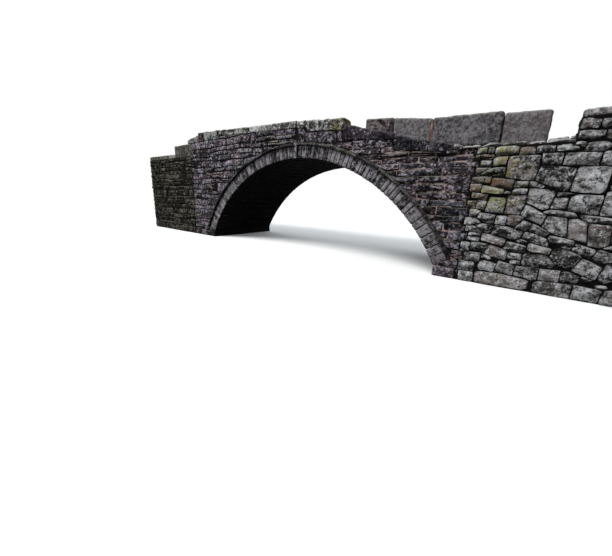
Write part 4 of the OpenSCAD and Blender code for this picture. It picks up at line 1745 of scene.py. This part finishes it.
# %% End stones
ends = Mason("end_courses", coursed, "coursed_stone", 71)
at_left, at_right = facing_x(-REACH + END_DEPTH, -1), facing_x(REACH - END_DEPTH, 1)
for place, low, high, y0, y1 in ((at_left, 0.0, DECK_LEFT, -FACE_Y, FACE_Y),
                                 (at_left, DECK_LEFT, WING_LEFT_TOP, -FACE_Y, -CORE_Y),
                                 (at_left, DECK_LEFT, WING_LEFT_TOP, CORE_Y, FACE_Y),
                                 (at_right, 0.0, DECK_RIGHT, -FACE_Y, FACE_Y),
                                 (at_right, DECK_RIGHT, WING_HIGH, -FACE_Y, -CORE_Y),
                                 (at_right, DECK_RIGHT, WING_HIGH, CORE_Y, FACE_Y)):
    rng = random.Random(72)
    outlines = course_outlines(beds(low, high, (0.12, 0.22), rng), y0, y1, (0.2, 0.6), rng)
    ends.lay(trimmed(outlines, None, level(high)), place, proud=(0.015, 0.028),
             most=END_DEPTH - 0.002)
print("end stones", len(ends.points))

# %% Shoulders, where a wall rises over its neighbour
SHOULDERS = [
    (LEFT_X, -1, WING_LEFT_TOP, PARAPET_LEFT_TOP(LEFT_X)),
    (RIGHT_X, 1, WING_TOP, PARAPET_RIGHT_TOP(RIGHT_X)),
    (RAISED_X, -1, WING_TOP, WING_HIGH),
]
for number, (x, way, low, high) in enumerate(SHOULDERS):
    for side in (-1, 1):
        rng = random.Random(75 + number)
        edges = sorted((side * FACE_Y, side * CORE_Y))
        outlines = course_outlines(beds(low, high, (0.08, 0.14), rng), *edges, (0.14, 0.3),
                                   rng, 0.004)
        ends.lay(trimmed(outlines, None, level(high)), facing_x(x, way), proud=(0.006, 0.02))
ends.finish()

# %% [markdown]
# ## Footings
# Each foot of the arch stands on a sloping seat. Two low courses face the mass under it, and
# the stones beside the seat are cut along its slope. They are worked out as for the right foot
# and mirrored for the left one, so that one cut serves both.

# %% Footings
foot = Mason("footings", coursed, "coursed_stone", 81)
FOOT_X = ARCH_R * math.sin(HALF_ANGLE)
SPRING_Z = CENTRE_Z + ARCH_R * math.cos(HALF_ANGLE)
HOOD_FOOT = (R_HOOD * math.sin(HALF_ANGLE), CENTRE_Z + R_HOOD * math.cos(HALF_ANGLE))
for place in (on_near, on_far):
    for side in (-1, 1):
        rng = random.Random(82 + side)
        edge = RIGHT_X if side > 0 else -LEFT_X
        outlines = course_outlines(RIGHT_BEDS[:3], FOOT_X, edge, (0.25, 0.5), rng, 0.004)
        slope = Vector((HOOD_FOOT[0] - FOOT_X, HOOD_FOOT[1] - SPRING_Z)).normalized()
        outlines = [keep_side(o, (FOOT_X, SPRING_Z), (-slope.y, slope.x)) for o in outlines]
        outlines = [[(side * u, v) for u, v in o] for o in outlines if len(o) > 2]
        foot.lay(outlines, place, proud=(0.012, 0.03))
foot.finish()

# %% [markdown]
# ## Under the arch
# The barrel shows long narrow stones laid across the bridge, painted almost black as the shade
# under the arch, in as many courses as the solid has. Turning each stone to its place by an
# angle of its own would work too, but it is simpler to unroll the underside. Every stone is then
# a plain rectangle, and the surface's function bends it back round the arch.

# %% Barrel
BARREL_COURSES = 34
under = Mason("barrel_stones", soffit, "barrel_stone", 91)
rng = random.Random(92)
half_round = ARCH_R * HALF_ANGLE
wide = 2 * half_round / BARREL_COURSES
outlines = []
for course in range(BARREL_COURSES):
    u = course * wide - half_round
    v = -CORE_Y - rng.uniform(0, 0.4)
    while v < CORE_Y:
        long = rng.uniform(0.25, 0.6)
        a, b = max(v, -CORE_Y), min(v + long, CORE_Y)
        if b - a > 0.04:
            outlines.append([(u, a), (u + wide, a), (u + wide, b), (u, b)])
        v += long
under.lay(outlines, on_soffit, joint=0.012, proud=(0.006, 0.022))
under.finish(weather=0.006)

# %% [markdown]
# ## On the deck
# The deck is paved with worn flags, set in rows across it between the parapets. Each row has
# its own length along the deck, and the last flag of a row takes up what would be too narrow.
# The height of each point is read from the deck's line, so the flags follow its slopes, and
# they have no facets, because use has worn them smooth.

# %% Deck
FLAG_EDGE = 0.005
NARROWEST = 0.12
flags = Mason("deck_flags", paving, "paving_stone", 95)
rng = random.Random(96)
outlines = []
x = -REACH + 0.01
while x < REACH - 0.1:
    long = min(rng.uniform(0.26, 0.5), REACH - 0.01 - x)
    v = -CORE_Y + FLAG_EDGE
    while v < CORE_Y - 0.05:
        wide = rng.uniform(0.3, 0.7)
        b = min(v + wide, CORE_Y - FLAG_EDGE)
        if CORE_Y - b < NARROWEST:
            b = CORE_Y - FLAG_EDGE
        skew = rng.uniform(-0.015, 0.015)
        outlines.append([(x, v), (x + long, v), (x + long, b + skew), (x, b)])
        v = b
    x += long
flags.lay(outlines, on_deck, joint=0.016, proud=(0.014, 0.032), bury=0.03, lean=0.15,
          facets=0)
flags.finish(weather=0.006, size=0.15)

# %% [markdown]
# ## Tops that carry no coping
# Between the last coping block and the raised wall, the near wall ends in rough flat stones,
# and so does the far wall past the upright slabs. A remeshed slab would look like one long
# block, so the top is divided into pairs of stones across the wall. They stand higher than
# wall stones do, as nothing lies on them.

# %% Wall tops
tops = Mason("rough_wall_tops", rubble, "rubble_stone", 101)


def on_low_top(p):
    return np.column_stack([p[:, 0], p[:, 1], WING_TOP + p[:, 2]])


rng = random.Random(102)
outlines = []
TOP_RUNS = [
    (-FACE_Y, -CORE_Y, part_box("coping_near_right")[1][0] + 0.01, RAISED_X),
    (CORE_Y, FACE_Y, SLAB_HIGH[0] + 0.01, RAISED_FAR_X),
]
for y0, y1, x0, x1 in TOP_RUNS:
    x = x0
    while x < x1 - 0.05:
        long = min(rng.uniform(0.22, 0.42), x1 - x)
        cut = rng.uniform(0.35, 0.65)
        y_cut = y0 + (y1 - y0) * cut
        outlines.append([(x, y0), (x + long, y0), (x + long, y_cut), (x, y_cut)])
        outlines.append([(x, y_cut), (x + long, y_cut), (x + long, y1), (x, y1)])
        x += long
tops.lay(outlines, on_low_top, SQUARED, joint=0.014, proud=(0.04, 0.085), bury=0.04, facets=3)
tops.finish(**ROUGH)

# %% [markdown]
# ## Floor and light
# A pale floor and a bright even sky, as on an overcast day: the light comes from above, so
# tops are bright, the underside of the arch is deep in shade and joints are dark.

# %% Floor
FLOOR_R = 60.0
deselect()
bpy.ops.mesh.primitive_plane_add(size=2 * FLOOR_R, location=(0, 0, 0))
floor = bpy.context.object
floor.name = "floor"
shader = Shader("pale_floor")
rays = shader.node("ShaderNodeLightPath")["Is Camera Ray"]
shown = shader.blend(rays, rgb(0.22, 0.22, 0.21), rgb(0.80, 0.80, 0.79))
base = shader.node("ShaderNodeBsdfPrincipled", {}, {
    "Base Color": shown, "Roughness": 0.9, "Specular IOR Level": 0.1})["BSDF"]
glow = shader.node("ShaderNodeEmission", {}, {"Color": rgb(1, 1, 1), "Strength": 1.0})
squeezed = shader.stretch(shader.place(), (0.7, 1.0, 1.0))
far = shader.node("ShaderNodeVectorMath", {"operation": "LENGTH"}, {0: squeezed})["Value"]
mixed = shader.node("ShaderNodeMixShader", {}, {
    0: rays * far.between(6.0, 15.0), 1: base, 2: glow["Emission"]})
shader.node("ShaderNodeOutputMaterial", {}, {"Surface": mixed["Shader"]})
floor.data.materials.append(shader.owner)
print("floor", 2 * FLOOR_R, "m across")

# %% [markdown]
# The sky lights the bridge more from above than from the horizon. The camera sees plain white
# in its place, so the light and the background can be set apart.

# %% Sky
HORIZON, ZENITH = 0.35, 1.35
sky = Shader("sky", "worlds")
upward = sky.parts(sky.node("ShaderNodeTexCoord")["Generated"])[2]
strength = sky.node("ShaderNodeMapRange", {}, {
    "Value": upward, "From Min": 0.0, "From Max": 0.9, "To Min": HORIZON,
    "To Max": ZENITH})["Result"]
lit = sky.node("ShaderNodeBackground", {}, {
    "Color": rgb(0.92, 0.96, 1.0), "Strength": strength})["Background"]
seen = sky.node("ShaderNodeBackground", {}, {
    "Color": rgb(1, 1, 1), "Strength": 1.0})["Background"]
camera_ray = sky.node("ShaderNodeLightPath")["Is Camera Ray"]
mixed = sky.node("ShaderNodeMixShader", {}, {0: camera_ray, 1: lit, 2: seen})["Shader"]
sky.node("ShaderNodeOutputWorld", {}, {"Surface": mixed})
bpy.context.scene.world = sky.owner
print("sky from", HORIZON, "at the horizon to", ZENITH, "overhead")

# %% [markdown]
# Light that is quite even leaves stone looking flat. Two wide round lamps give it a direction:
# a strong one high in front of the bridge, and a weak one that lifts the shade on the right.

# %% Lamps


def soft_lamp(name, at, aim, size, watts):
    data = bpy.data.lights.new(name, "AREA")
    data.shape = "DISK"
    data.size = size
    data.energy = watts
    lamp = bpy.data.objects.new(name, data)
    lamp.location = at
    lamp.rotation_euler = (Vector(aim) - Vector(at)).to_track_quat("-Z", "Y").to_euler()
    bpy.context.collection.objects.link(lamp)


soft_lamp("sky_lamp", (-3, -9, 15), (0, 0, 1.5), 8.0, 3000)
soft_lamp("fill_lamp", (10, -12, 6), (2, 0, 1.5), 8.0, 300)
bpy.context.scene.view_settings.view_transform = "Standard"
print("lamps", [lamp.name for lamp in bpy.data.lights])

# %% [markdown]
# ## Sizes
# The dressed bridge must stay inside the box of its solids.
